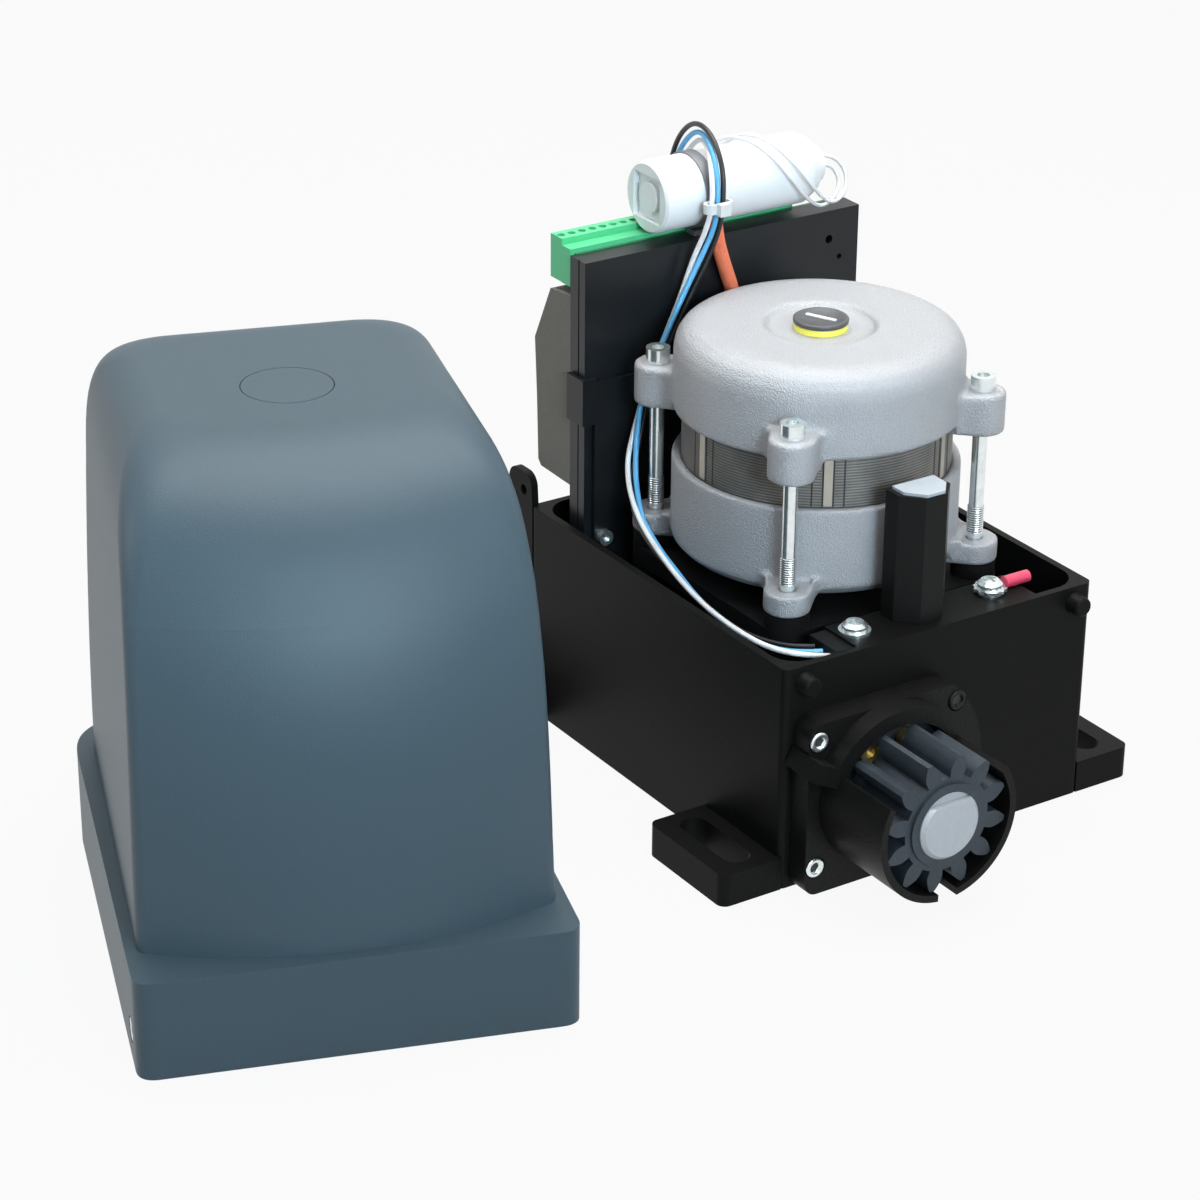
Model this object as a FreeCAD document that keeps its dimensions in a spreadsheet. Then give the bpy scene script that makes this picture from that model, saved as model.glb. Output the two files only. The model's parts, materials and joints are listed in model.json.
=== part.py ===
import FreeCAD, Part
import math
import os
import re
import Sketcher
from FreeCAD import Placement, Rotation, Vector

# Sliding gate operator with its cover lifted off and stood beside it, in millimetres.
# Origin: on the floor at the centre of the four fixing slots. +X is the way the pinion's
# shaft points, +Y is across the base and +Z is up.

doc = FreeCAD.newDocument("gate_operator")
sheet = doc.addObject("Spreadsheet::Sheet", "Sizes")

SIZES = {
    # moulded base: tray, feet and rear apron
    "base_width": 151.5, "base_height": 96, "base_wall": 3.2, "base_floor": 4,
    "tray_length": 183.4, "rim_corner": 3, "tray_corner": 12,
    "foot_length": 52, "foot_reach": 27, "foot_height": 14, "foot_corner": 4,
    "slot_length": 40, "slot_width": 12, "slot_offset": 12.75, "slot_pitch": 174,
    "cheek_length": 17.2, "tab_rise": 13.4, "tab_corner": 6, "tab_hole": 4.6,
    "cable_slot_length": 60, "cable_slot_width": 16,
    "ledge_depth": 20.8, "ledge_left": 40, "ledge_right": 49, "ledge_thickness": 8,
    "peg_width": 6.4, "peg_reach": 6.5, "peg_inset": 9, "peg_drop": 7,
    # worm drive
    "shaft_side": 33.3, "shaft_height": 40.3, "gear_x": 26.2,
    "worm_module": 1.5, "wheel_teeth": 30, "wheel_face": 14, "mesh_backlash": 0.35,
    "worm_length": 36, "worm_bore": 12,
    "shaft_width": 28, "front_seat": 30, "rear_seat": 20, "shaft_reach": 52.5,
    "front_bearing_width": 55, "front_bearing_depth": 13, "nose_plate": 10,
    "flange_screws": 19.5, "flange_thickness": 8.5,
    "rear_bearing_width": 42, "rear_bearing_depth": 12,
    "foot_bearing_width": 26, "foot_bearing_bore": 10, "foot_bearing_depth": 8,
    "seal_width": 40, "seal_depth": 7, "case_wall": 4, "chamber_clearance": 2.6,
    "chamber_length": 38, "pillar_width": 18, "case_plate": 8,
    "fit_gap": 0.04, "air_gap": 0.5,
    # pinion and its guard
    "pinion_module": 4, "pinion_teeth": 12, "pinion_shift": 0.225, "pinion_face": 30,
    "pinion_back": 19.2, "tooth_turn": 19, "guard_plate": 11, "guard_height": 75.5,
    "guard_side": 38.1, "guard_corner": 6, "guard_arc": 47, "guard_wall": 3,
    "guard_clearance": 0.7, "guard_reach": 51, "collar_reach": 20, "collar_wall": 6.5,
    "guard_screw_y": 33.4, "guard_screw_z": 27.6, "m_six": 6, "m_five": 5,
    # motor
    "motor_rise": 2.4, "bolt_stand": 7.261, "bell_wall": 3.8, "lower_bell": 37.5,
    "lower_ear": 9.1, "bell_start": 2.2, "stack_shown": 21, "stack_seat": 5,
    "upper_bell": 35.4, "upper_ear": 17.2, "ear_drop": 4.4, "ear_width": 19,
    "stack_width": 109.4, "rotor_width": 61, "bolt_tail": 12, "bolt_head": 6,
    "lower_journal": 17, "upper_journal": 15, "rotor_seat": 22,
    "lower_bearing_width": 40, "lower_bearing_depth": 12,
    "upper_bearing_width": 35, "upper_bearing_depth": 11,
    "knob_width": 30, "knob_rise": 3.5, "recess_width": 42, "recess_depth": 2.5,
    # sensor tower
    "tower_height": 54,
    # control box
    "panel_gap": 7.7, "lid_depth": 10.8, "box_left": 69, "box_right": 67.4,
    "box_top": 211.6, "box_bottom": 84, "box_wall": 2.2, "board_thickness": 1.6,
    "plate_thickness": 2, "plate_top": 160, "terminal_pitch": 5, "terminal_count": 22,
    # capacitor
    "can_width": 30, "can_length": 79, "can_left": 32.5, "can_setback": 11, "can_z": 229.5,
    # cover, measured where it stands
    "cover_x": 128, "cover_y": -270.7, "cover_turn": 71.5, "cover_width": 164,
    "cover_tail": 159, "cover_length": 208, "cover_height": 211.5, "cover_wall": 2.6,
    "skirt_height": 40, "plug_width": 35, "plug_back": 124.5,
}

for row, (alias, value) in enumerate(SIZES.items(), start=1):
    sheet.set(f"A{row}", alias)
    sheet.set(f"B{row}", str(value))
    sheet.setAlias(f"B{row}", alias)
doc.recompute()


def size(name):
    return float(sheet.get(name))


def tied(formula):
    """The formula with each bare size name turned into a reference to the sheet."""
    return re.sub(r"[a-z_]+", lambda m: f"Sizes.{m[0]}" if m[0] in SIZES else m[0], formula)


def bind(item, prop, formula):
    item.setExpression(prop, tied(str(formula)))


def place(item, at, turn=None):
    if turn:
        item.Placement = Placement(Vector(), Rotation(Vector(*turn[0]), turn[1]))
    for axis, formula in zip("xyz", at):
        bind(item, f"Placement.Base.{axis}", formula)


ALONG = {"x": ((0, 1, 0), 90), "y": ((1, 0, 0), -90), "z": None}


def block(name, at, length, width, height):
    item = doc.addObject("Part::Box", name)
    place(item, at)
    for prop, formula in (("Length", length), ("Width", width), ("Height", height)):
        bind(item, prop, formula)
    return item


def rod(name, axis, at, radius, length):
    item = doc.addObject("Part::Cylinder", name)
    place(item, at, ALONG[axis])
    bind(item, "Radius", radius)
    bind(item, "Height", length)
    return item


def join(name, parts):
    item = doc.addObject("Part::MultiFuse", name)
    item.Shapes = parts
    item.Refine = True
    return item


def cut(name, base, tools):
    item = doc.addObject("Part::Cut", name)
    item.Base = base
    item.Tool = tools[0] if len(tools) == 1 else join(f"{name}_tools", tools)
    item.Refine = True
    return item


def common(name, first, second):
    item = doc.addObject("Part::Common", name)
    item.Base = first
    item.Tool = second
    return item


def group(name, parts):
    item = doc.addObject("Part::Compound", name)
    item.Links = parts
    return item


def rounded(name, base, radius, picked):
    """Fillets the edges of base that picked(edge) accepts."""
    doc.recompute()
    item = doc.addObject("Part::Fillet", name)
    item.Base = base
    edges = base.Shape.Edges
    item.Edges = [(i + 1, radius, radius) for i, edge in enumerate(edges) if picked(edge)]
    return item


def upright(edge):
    ends = [v.Point for v in edge.Vertexes]
    return len(ends) == 2 and (ends[0] - ends[1]).cross(Vector(0, 0, 1)).Length < 1e-6


def shaped(name, shape, at=None, turn=None):
    """A sub-part whose shape is worked out in code, then placed from the sheet."""
    item = doc.addObject("Part::Feature", name)
    item.Shape = shape
    if at:
        place(item, at, turn)
    return item


def sketch_on(body, name, role, corners):
    """A closed outline on one of the body's own planes, each corner tied to the sheet."""
    sketch = body.newObject("Sketcher::SketchObject", name)
    plane = [f for f in body.Origin.OriginFeatures if f.Role == role][0]
    sketch.AttachmentSupport = [(plane, "")]
    sketch.MapMode = "FlatFace"
    scratch = [tuple(evaluated(f) for f in corner) for corner in corners]
    count = len(corners)
    for i in range(count):
        start = Vector(*scratch[i], 0)
        end = Vector(*scratch[(i + 1) % count], 0)
        sketch.addGeometry(Part.LineSegment(start, end), False)
    for i in range(count):
        sketch.addConstraint(Sketcher.Constraint("Coincident", i, 2, (i + 1) % count, 1))
        for kind, formula, value in zip(("DistanceX", "DistanceY"), corners[i], scratch[i]):
            index = sketch.addConstraint(Sketcher.Constraint(kind, -1, 1, i, 1, value))
            sketch.setExpression(f"Constraints[{index}]", tied(str(formula)))
    return sketch


def evaluated(formula):
    words = re.findall(r"[a-z_]+|[0-9.]+|[-+*/()]", str(formula))
    return reckon(words)


def reckon(words):
    """Adds and multiplies out the words of a formula, left to right with brackets."""
    def factor():
        word = words.pop(0)
        if word == "(":
            value = total()
            words.pop(0)
            return value
        if word == "-":
            return -factor()
        return size(word) if word in SIZES else float(word)

    def term():
        value = factor()
        while words and words[0] in "*/":
            value = value * factor() if words.pop(0) == "*" else value / factor()
        return value

    def total():
        value = term()
        while words and words[0] in "+-":
            value = value + term() if words.pop(0) == "+" else value - term()
        return value

    return total()


def turned(name, corners, at, axis="z"):
    """A turned part: its half section as (radius, along) corners, spun about the axis."""
    body = doc.addObject("PartDesign::Body", name)
    sketch = sketch_on(body, f"{name}_section", "XZ_Plane", corners)
    spin = body.newObject("PartDesign::Revolution", f"{name}_spin")
    spin.Profile = sketch
    spin.ReferenceAxis = (sketch, ["V_Axis"])
    spin.Angle = 360
    body.Tip = spin
    place(body, at, ALONG[axis])
    return body


def plate(name, corners, thickness, at, turn=None):
    """A flat part: its outline on the body's XY plane, padded upwards."""
    body = doc.addObject("PartDesign::Body", name)
    sketch = sketch_on(body, f"{name}_outline", "XY_Plane", corners)
    pad = body.newObject("PartDesign::Pad", f"{name}_pad")
    pad.Profile = sketch
    bind(pad, "Length", thickness)
    body.Tip = pad
    place(body, at, turn)
    return body


nodes = []


def node(label, item):
    item.Label = label
    if item.Label != label:
        raise RuntimeError(f"the name {label} is taken")
    nodes.append(item)
    return item


# --- places that several parts share ------------------------------------------------

FRONT = "(slot_pitch / 2 + foot_length / 2)"
TRAY_REAR = f"({FRONT} - tray_length)"
SIDE = "(base_width / 2)"
SHAFT_Y = "(-shaft_side)"
MOTOR_Z = "(base_height + motor_rise)"
BELL_R = "(stack_width / 2 + bell_wall)"
BOLT = f"(({BELL_R} + bolt_stand) / sqrt(2))"
PANEL_X = f"(gear_x - {BELL_R} - panel_gap)"
CAN_X = f"({PANEL_X} - can_setback)"
GUARD_BORE = "(pinion_module * (pinion_teeth / 2 + 1 + pinion_shift) + guard_clearance)"
WHEEL_R = "(worm_module * wheel_teeth / 2)"
BOLT_SPOTS = [(i, j) for i in (-1, 1) for j in (-1, 1)]
FLANGE_SPOTS = [(f"{SHAFT_Y} + {i} * flange_screws * 0.5", f"shaft_height + {j} * flange_screws * 0.866")
                for i, j in BOLT_SPOTS]


# --- moulded base -------------------------------------------------------------------

def obround(name, at, length, width, depth):
    """A slot cutter along X with round ends; at is its centre."""
    x, y, z = at
    middle = block(f"{name}_middle", (f"{x} - {length} / 2 + {width} / 2", f"{y} - {width} / 2", z),
                   f"{length} - {width}", width, depth)
    ends = [rod(f"{name}_end", "z", (f"{x} + {s} * ({length} - {width}) / 2", y, z),
                f"{width} / 2", depth) for s in (-1, 1)]
    return join(name, [middle] + ends)


def make_base():
    shell = block("tray_block", (TRAY_REAR, f"-{SIDE}", 0), "tray_length", "base_width",
                  "base_height")
    shell = rounded("tray_rounded", shell, size("rim_corner"), upright)
    hollow = block("tray_hollow", (f"{TRAY_REAR} + base_wall", f"-{SIDE} + base_wall",
                                   "base_floor"),
                   "tray_length - 2 * base_wall", "base_width - 2 * base_wall", "base_height")
    hollow = rounded("tray_hollow_rounded", hollow, size("tray_corner"), upright)
    tray = cut("tray", shell, [hollow])

    apron = block("apron", (f"-{FRONT}", f"-{SIDE}", 0),
                  f"{TRAY_REAR} + {FRONT} + base_wall", "base_width", "foot_height")
    feet = []
    slots = []
    for i, j in BOLT_SPOTS:
        y0 = f"{SIDE} - 1" if j > 0 else f"-{SIDE} - foot_reach"
        foot = block("foot_block", (f"{i} * slot_pitch / 2 - foot_length / 2", y0, 0),
                     "foot_length", "foot_reach + 1", "foot_height")
        outer = j * (size("base_width") / 2 + size("foot_reach"))
        foot = rounded("foot", foot, size("foot_corner"),
                       lambda e, y=outer: upright(e) and abs(e.Vertexes[0].Y - y) < 0.01)
        feet.append(foot)
        slots.append(obround("fixing_slot", (f"{i} * slot_pitch / 2",
                                             f"{j} * ({SIDE} + slot_offset)", -1),
                             "slot_length", "slot_width", "foot_height + 2"))

    cheeks = []
    holes = []
    for j in (-1, 1):
        y0 = f"-{SIDE}" if j < 0 else f"{SIDE} - base_wall"
        corners = [(f"{TRAY_REAR} + 1", "foot_height - 1"),
                   (f"{TRAY_REAR} - 1.8 * cheek_length", "foot_height - 1"),
                   (f"{TRAY_REAR} - cheek_length", "base_height / 2"),
                   (f"{TRAY_REAR} - cheek_length", "base_height + tab_rise"),
                   (TRAY_REAR, "base_height + tab_rise"),
                   (f"{TRAY_REAR} + 1", "base_height")]
        cheek = plate("cheek", corners, "base_wall", (0, f"{y0} + base_wall", 0),
                      ((1, 0, 0), 90))
        top = size("base_height") + size("tab_rise")
        cheek = rounded("cheek_rounded", cheek, size("tab_corner"),
                        lambda e: all(abs(v.Z - top) < 0.01 for v in e.Vertexes)
                        and abs(e.tangentAt(e.FirstParameter).y) > 0.9)
        cheeks.append(cheek)
        holes.append(rod("tab_hole", "y", (f"{TRAY_REAR} - cheek_length / 3",
                                           f"{y0} - 1", "base_height + 5"),
                         "tab_hole / 2", "base_wall + 2"))

    ledge = block("ledge", (f"{FRONT} - base_wall - ledge_depth", "-ledge_left",
                            "base_height - ledge_thickness"),
                  "ledge_depth + 1", "ledge_left + ledge_right", "ledge_thickness")
    ribs = []
    for spot in (-0.7, 0.35, 1.05):
        corners = [(f"{FRONT} - base_wall - ledge_depth + 2", "base_height - ledge_thickness + 1"),
                   (f"{FRONT} - base_wall + 1", "base_height - ledge_thickness + 1"),
                   (f"{FRONT} - base_wall + 1", "base_height - ledge_depth")]
        ribs.append(plate("ledge_rib", corners, "base_wall - 1",
                          (0, f"{spot} * ledge_left + base_wall / 2", 0), ((1, 0, 0), 90)))
    pegs = [rod("cover_peg", "x", (f"{FRONT} - 1", f"{j} * ({SIDE} - peg_inset)",
                                   "base_height - peg_drop"),
                "peg_width / 2", "peg_reach + 1") for j in (-1, 1)]

    holes.append(rod("shaft_opening", "x", (f"{FRONT} - base_wall - 1", SHAFT_Y, "shaft_height"),
                     "shaft_width / 2 + 1", "base_wall + 2"))
    holes += [rod("flange_screw_hole", "x", (f"{FRONT} - base_wall - 1", *spot),
                  "m_five / 2 + 0.3", "base_wall + 2") for spot in FLANGE_SPOTS]
    holes += [rod("guard_screw_hole", "x",
                  (f"{FRONT} - base_wall - tray_corner", f"{SHAFT_Y} + {i} * guard_screw_y",
                   f"shaft_height + {j} * guard_screw_z"), "m_five / 2 + 0.3",
                  "base_wall + tray_corner + 1")
              for i, j in BOLT_SPOTS]
    holes += [rod("ledge_hole", "z", (f"{FRONT} - 14.3", y, "base_height - 7"), 2, 8)
              for y in ("-32.6", "34.4")]
    holes += [rod("plate_hole", "z", (f"{PANEL_X} + 10", y, "base_floor - 3"), 2, 4)
              for y in (-25, 25)]
    cable = obround("cable_slot", (0, 0, 0), "cable_slot_length", "cable_slot_width",
                    "foot_height + 2")
    place(cable, (f"({TRAY_REAR} - {FRONT}) / 2", 0, -1), ((0, 0, 1), 90))
    whole = join("base_joined", [tray, apron] + feet + cheeks + [ledge] + ribs + pegs)
    return cut("base_cut", whole, slots + holes + [cable])


node("base_housing", make_base())


# --- gear case ----------------------------------------------------------------------

CHAMBER_R = f"({WHEEL_R} + worm_module + chamber_clearance)"
CHAMBER_X = "(gear_x - chamber_length / 2)"
NOSE_END = f"({FRONT} - base_wall)"
SEAL_X = f"({NOSE_END} - nose_plate - seal_depth)"
BEARING_X = f"({SEAL_X} - front_bearing_depth)"
WORM_R = "(shaft_side - worm_module * wheel_teeth / 2)"
CASE_TOP = "(base_height - 4)"
CASE_SCREWS = [(f"{SHAFT_Y} + {i} * ({CHAMBER_R} + case_wall / 2) * 0.707",
                f"shaft_height + {j} * ({CHAMBER_R} + case_wall / 2) * 0.707")
               for i, j in BOLT_SPOTS]


def make_gear_case():
    chamber = rod("chamber", "x", (CHAMBER_X, SHAFT_Y, "shaft_height"),
                  f"{CHAMBER_R} + case_wall", "chamber_length")
    nose = rod("nose", "x", (f"{CHAMBER_X} + chamber_length - 1", SHAFT_Y, "shaft_height"),
               "front_bearing_width / 2 + case_wall", f"{NOSE_END} - {CHAMBER_X} - chamber_length + 1")
    tower = rod("worm_tower", "z", ("gear_x", 0, "base_floor"),
                f"{WORM_R} + worm_module + chamber_clearance + case_wall", "base_height - 8")
    top = block("case_top", (f"gear_x - {BOLT} - pillar_width / 2", f"-{BOLT} - pillar_width / 2",
                             f"{CASE_TOP} - case_plate"),
                f"2 * {BOLT} + pillar_width", f"2 * {BOLT} + pillar_width", "case_plate")
    top = rounded("case_top_rounded", top, size("pillar_width") / 2 - 0.5, upright)
    pillars = [rod("pillar", "z", (f"gear_x + {i} * {BOLT}", f"{j} * {BOLT}", "base_floor"),
                   "pillar_width / 2", f"{MOTOR_Z} - base_floor") for i, j in BOLT_SPOTS]
    bosses = [rod("front_boss", "x", (f"{FRONT} - base_wall - 14",
                                      f"{SHAFT_Y} + {i} * guard_screw_y",
                                      f"shaft_height + {j} * guard_screw_z"),
                  "m_five", "14") for i, j in BOLT_SPOTS]
    webs = [block("boss_web", (f"{FRONT} - base_wall - 14", f"{SHAFT_Y} - guard_screw_y",
                               f"shaft_height + {j} * guard_screw_z - case_wall / 2"),
                  "10", "2 * guard_screw_y", "case_wall") for j in (-1, 1)]
    body = join("case_body", [chamber, nose, tower, top] + pillars + bosses + webs)

    voids = [rod("chamber_bore", "x", (f"{CHAMBER_X} - 1", SHAFT_Y, "shaft_height"), CHAMBER_R,
                 "chamber_length - case_wall + 1"),
             rod("nose_bore", "x", (f"{CHAMBER_X} + chamber_length - case_wall - 1", SHAFT_Y,
                                    "shaft_height"), "front_bearing_width / 2",
                 f"{SEAL_X} - {CHAMBER_X} - chamber_length + case_wall + 1"),
             rod("seal_seat", "x", (f"{SEAL_X} - 1", SHAFT_Y, "shaft_height"), "seal_width / 2",
                 "seal_depth + 1"),
             rod("shaft_way", "x", (f"{SEAL_X}", SHAFT_Y, "shaft_height"),
                 "shaft_width / 2 + 1", f"{NOSE_END} - {SEAL_X} + 1"),
             rod("worm_bore", "z", ("gear_x", 0, "base_floor + case_wall + foot_bearing_depth"),
                 f"{WORM_R} + worm_module + chamber_clearance", "base_height"),
             rod("foot_bearing_seat", "z", ("gear_x", 0, "base_floor + case_wall"),
                 "foot_bearing_width / 2", "foot_bearing_depth + 1"),
             rod("spigot_seat", "z", ("gear_x", 0, f"{CASE_TOP} - case_plate / 2"),
                 "lower_bearing_width / 2 + 6", "case_plate")]
    voids += [rod("bolt_thread", "z", (f"gear_x + {i} * {BOLT}", f"{j} * {BOLT}",
                                       f"{MOTOR_Z} - bolt_tail - 4"),
                  "m_six / 2", "bolt_tail + 5") for i, j in BOLT_SPOTS]
    voids += [rod("screw_thread", "x", (f"{FRONT} - base_wall - 12",
                                        f"{SHAFT_Y} + {i} * guard_screw_y",
                                        f"shaft_height + {j} * guard_screw_z"),
                  "m_five / 2", "14") for i, j in BOLT_SPOTS]
    voids += [rod("case_thread", "x", (f"{CHAMBER_X} - 1", *spot), 1.5, 12) for spot in CASE_SCREWS]
    voids += [rod("flange_thread", "x", (f"{NOSE_END} - 9", *spot), "m_five / 2", "10")
              for spot in FLANGE_SPOTS]
    tray_space = block("case_envelope", (f"{TRAY_REAR} + base_wall", f"-{SIDE} + base_wall",
                                         "base_floor"),
                       "tray_length - 2 * base_wall", "base_width - 2 * base_wall",
                       "base_height + tower_height")
    tray_space = rounded("case_envelope_rounded", tray_space, size("tray_corner"), upright)
    return common("case_in_tray", cut("case_cut", body, voids), tray_space)


node("gear_case", make_gear_case())

CASE_COVER = turned("case_cover_turned", [
    ("rear_seat / 2 + 3", f"{CHAMBER_X} - 14"), (f"rear_bearing_width / 2 + 4", f"{CHAMBER_X} - 14"),
    ("rear_bearing_width / 2 + 4", f"{CHAMBER_X} - 5"), (f"{CHAMBER_R} + case_wall", f"{CHAMBER_X} - 5"),
    (f"{CHAMBER_R} + case_wall", f"{CHAMBER_X} - 0"), ("rear_bearing_width / 2", CHAMBER_X),
    ("rear_bearing_width / 2", f"{CHAMBER_X} - rear_bearing_depth"),
    ("rear_seat / 2 + 3", f"{CHAMBER_X} - rear_bearing_depth")],
    (0, SHAFT_Y, "shaft_height"), "x")
node("gear_case_cover", cut("case_cover_cut", CASE_COVER, [
    rod("case_screw_hole", "x", (f"{CHAMBER_X} - 6", *spot), 1.6, 8) for spot in CASE_SCREWS]))


def cap_screw(name, axis, at, width, length, head, way=1):
    """A socket-head screw: head outside the point given, shank the other way.

    way is 1 for a head that faces along +axis and -1 for one that faces along -axis.
    """
    shift = {"x": (1, 0, 0), "y": (0, 1, 0), "z": (0, 0, 1)}[axis]

    def along(distance):
        return [f"{p} + {s} * ({distance})" for p, s in zip(at, shift)]

    if way > 0:
        starts = (f"-({length})", "0", f"{head} / 2")
    else:
        starts = ("-0.5", f"-{head}", f"-1.5 * {head}")
    shank = rod(f"{name}_shank", axis, along(starts[0]), f"{width} / 2", f"{length} + 0.5")
    cap = rod(f"{name}_head", axis, along(starts[1]), f"{width} * 0.83", head)
    socket = rod(f"{name}_socket", axis, along(starts[2]), f"{width} * 0.42", head)
    return cut(name, join(f"{name}_solid", [shank, cap]), [socket])


# --- bearings and seal --------------------------------------------------------------

def bearing(label, bore, width, depth, at, axis):
    """Shielded deep groove bearing: the inner ring, and the outer ring with its two shields."""
    pitch_r = f"(({bore} + {width}) / 4)"
    lip = f"(({width} - {bore}) * 0.07)"
    shield_r = f"({pitch_r} - {lip} + 0.2)"
    shield = "0.8"
    outer = turned(f"{label}_outer", [
        (shield_r, 0.4), (f"{pitch_r} + {lip}", 0.4), (f"{pitch_r} + {lip}", 0),
        (f"{width} / 2", 0), (f"{width} / 2", depth), (f"{pitch_r} + {lip}", depth),
        (f"{pitch_r} + {lip}", f"{depth} - 0.4"), (shield_r, f"{depth} - 0.4"),
        (shield_r, f"{depth} - 0.4 - {shield}"),
        (f"{pitch_r} + {lip}", f"{depth} - 0.4 - {shield}"),
        (f"{pitch_r} + {lip}", f"0.4 + {shield}"), (shield_r, f"0.4 + {shield}")], at, axis)
    inner = turned(f"{label}_inner", [
        (f"{bore} / 2 + fit_gap", 0), (f"{pitch_r} - {lip}", 0), (f"{pitch_r} - {lip}", depth),
        (f"{bore} / 2 + fit_gap", depth)], at, axis)
    return node(label, group(f"{label}_set", [outer, inner]))


SHAFT_AT = (SHAFT_Y, "shaft_height")
bearing("front_bearing", "front_seat", "front_bearing_width", "front_bearing_depth",
        (BEARING_X, *SHAFT_AT), "x")
bearing("rear_bearing", "rear_seat", "rear_bearing_width", "rear_bearing_depth",
        (f"{CHAMBER_X} - rear_bearing_depth", *SHAFT_AT), "x")
bearing("worm_foot_bearing", "foot_bearing_bore", "foot_bearing_width", "foot_bearing_depth",
        ("gear_x", 0, "base_floor + case_wall"), "z")

node("shaft_seal", turned("seal_turned", [
    ("shaft_width / 2 + fit_gap", "2"), ("shaft_width / 2 + fit_gap", "3.5"),
    ("shaft_width / 2 + 2", "seal_depth - 2"), ("seal_width / 2 - 2", "seal_depth - 2"),
    ("seal_width / 2 - 2", "seal_depth"), ("seal_width / 2", "seal_depth"),
    ("seal_width / 2", "0"), ("shaft_width / 2 + 2", "0")], (SEAL_X, *SHAFT_AT), "x"))


def make_flange():
    """Disc that clamps the gear case's nose to the inside of the base's front wall."""
    disc = turned("flange_turned", [
        ("shaft_width / 2 + 1", 0), (f"{GUARD_BORE} - 0.6", 0),
        (f"{GUARD_BORE} - 0.6", "flange_thickness"),
        ("shaft_width / 2 + 1", "flange_thickness")], (FRONT, *SHAFT_AT), "x")
    return cut("flange_cut", disc, [
        rod("flange_hole", "x", (f"{FRONT} - 1", *spot), "m_five / 2 + 0.2",
            "flange_thickness + 2") for spot in FLANGE_SPOTS])


node("shaft_flange", make_flange())
node("flange_screws", group("flange_screw_set", [
    cap_screw("flange_screw", "x", (f"{FRONT} + flange_thickness", *spot), "m_five",
              "flange_thickness + base_wall + 8", "4") for spot in FLANGE_SPOTS]))


# --- output shaft, wheel and pinion --------------------------------------------------

SHAFT_START = f"({CHAMBER_X} - rear_bearing_depth)"
SHAFT_END = f"({FRONT} + shaft_reach)"


def make_output_shaft():
    steps = turned("output_shaft_turned", [
        (0, SHAFT_START), ("rear_seat / 2", SHAFT_START), ("rear_seat / 2", CHAMBER_X),
        ("shaft_width / 2", CHAMBER_X), ("shaft_width / 2", "gear_x + wheel_face / 2 + 3"),
        ("shaft_width / 2 + 3", "gear_x + wheel_face / 2 + 3"),
        ("shaft_width / 2 + 3", "gear_x + wheel_face / 2 + 6"),
        ("shaft_width / 2", "gear_x + wheel_face / 2 + 6"),
        ("shaft_width / 2", f"{BEARING_X} - 3"), ("front_seat / 2 + 3", f"{BEARING_X} - 3"),
        ("front_seat / 2 + 3", BEARING_X), ("front_seat / 2", BEARING_X),
        ("front_seat / 2", f"{SEAL_X}"), ("shaft_width / 2", f"{SEAL_X}"),
        ("shaft_width / 2", f"{SHAFT_END} - 1.5"),
        ("shaft_width / 2 - 1.5", SHAFT_END), (0, SHAFT_END)], (0, *SHAFT_AT), "x")
    bevel = block("shaft_bevel", (f"{SHAFT_END} - 3", f"{SHAFT_Y} - shaft_width / 2",
                                  "shaft_height + shaft_width / 2 - 4"),
                  "4", "shaft_width", "5")
    seat = block("pinion_keyway", (f"{FRONT} + pinion_back + 4", f"{SHAFT_Y} - 4",
                                   "shaft_height + shaft_width / 2 - 4"),
                 "pinion_face - 8", "8", "5")
    wheel_seat = block("wheel_keyway", ("gear_x - wheel_face / 2 + 1", f"{SHAFT_Y} - 4",
                                        "shaft_height + shaft_width / 2 - 4"),
                       "wheel_face - 2", "8", "5")
    return cut("output_shaft_cut", steps, [bevel, seat, wheel_seat])


node("output_shaft", make_output_shaft())
node("shaft_keys", group("key_pair", [
    block("pinion_key", (f"{FRONT} + pinion_back + 4", f"{SHAFT_Y} - 4",
                         "shaft_height + shaft_width / 2 - 4"), "pinion_face - 8", "8", "7"),
    block("wheel_key", ("gear_x - wheel_face / 2 + 1", f"{SHAFT_Y} - 4",
                        "shaft_height + shaft_width / 2 - 4"), "wheel_face - 2", "8", "7")]))


def polar(radius, angle):
    return Vector(radius * math.cos(angle), radius * math.sin(angle), 0)


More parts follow.
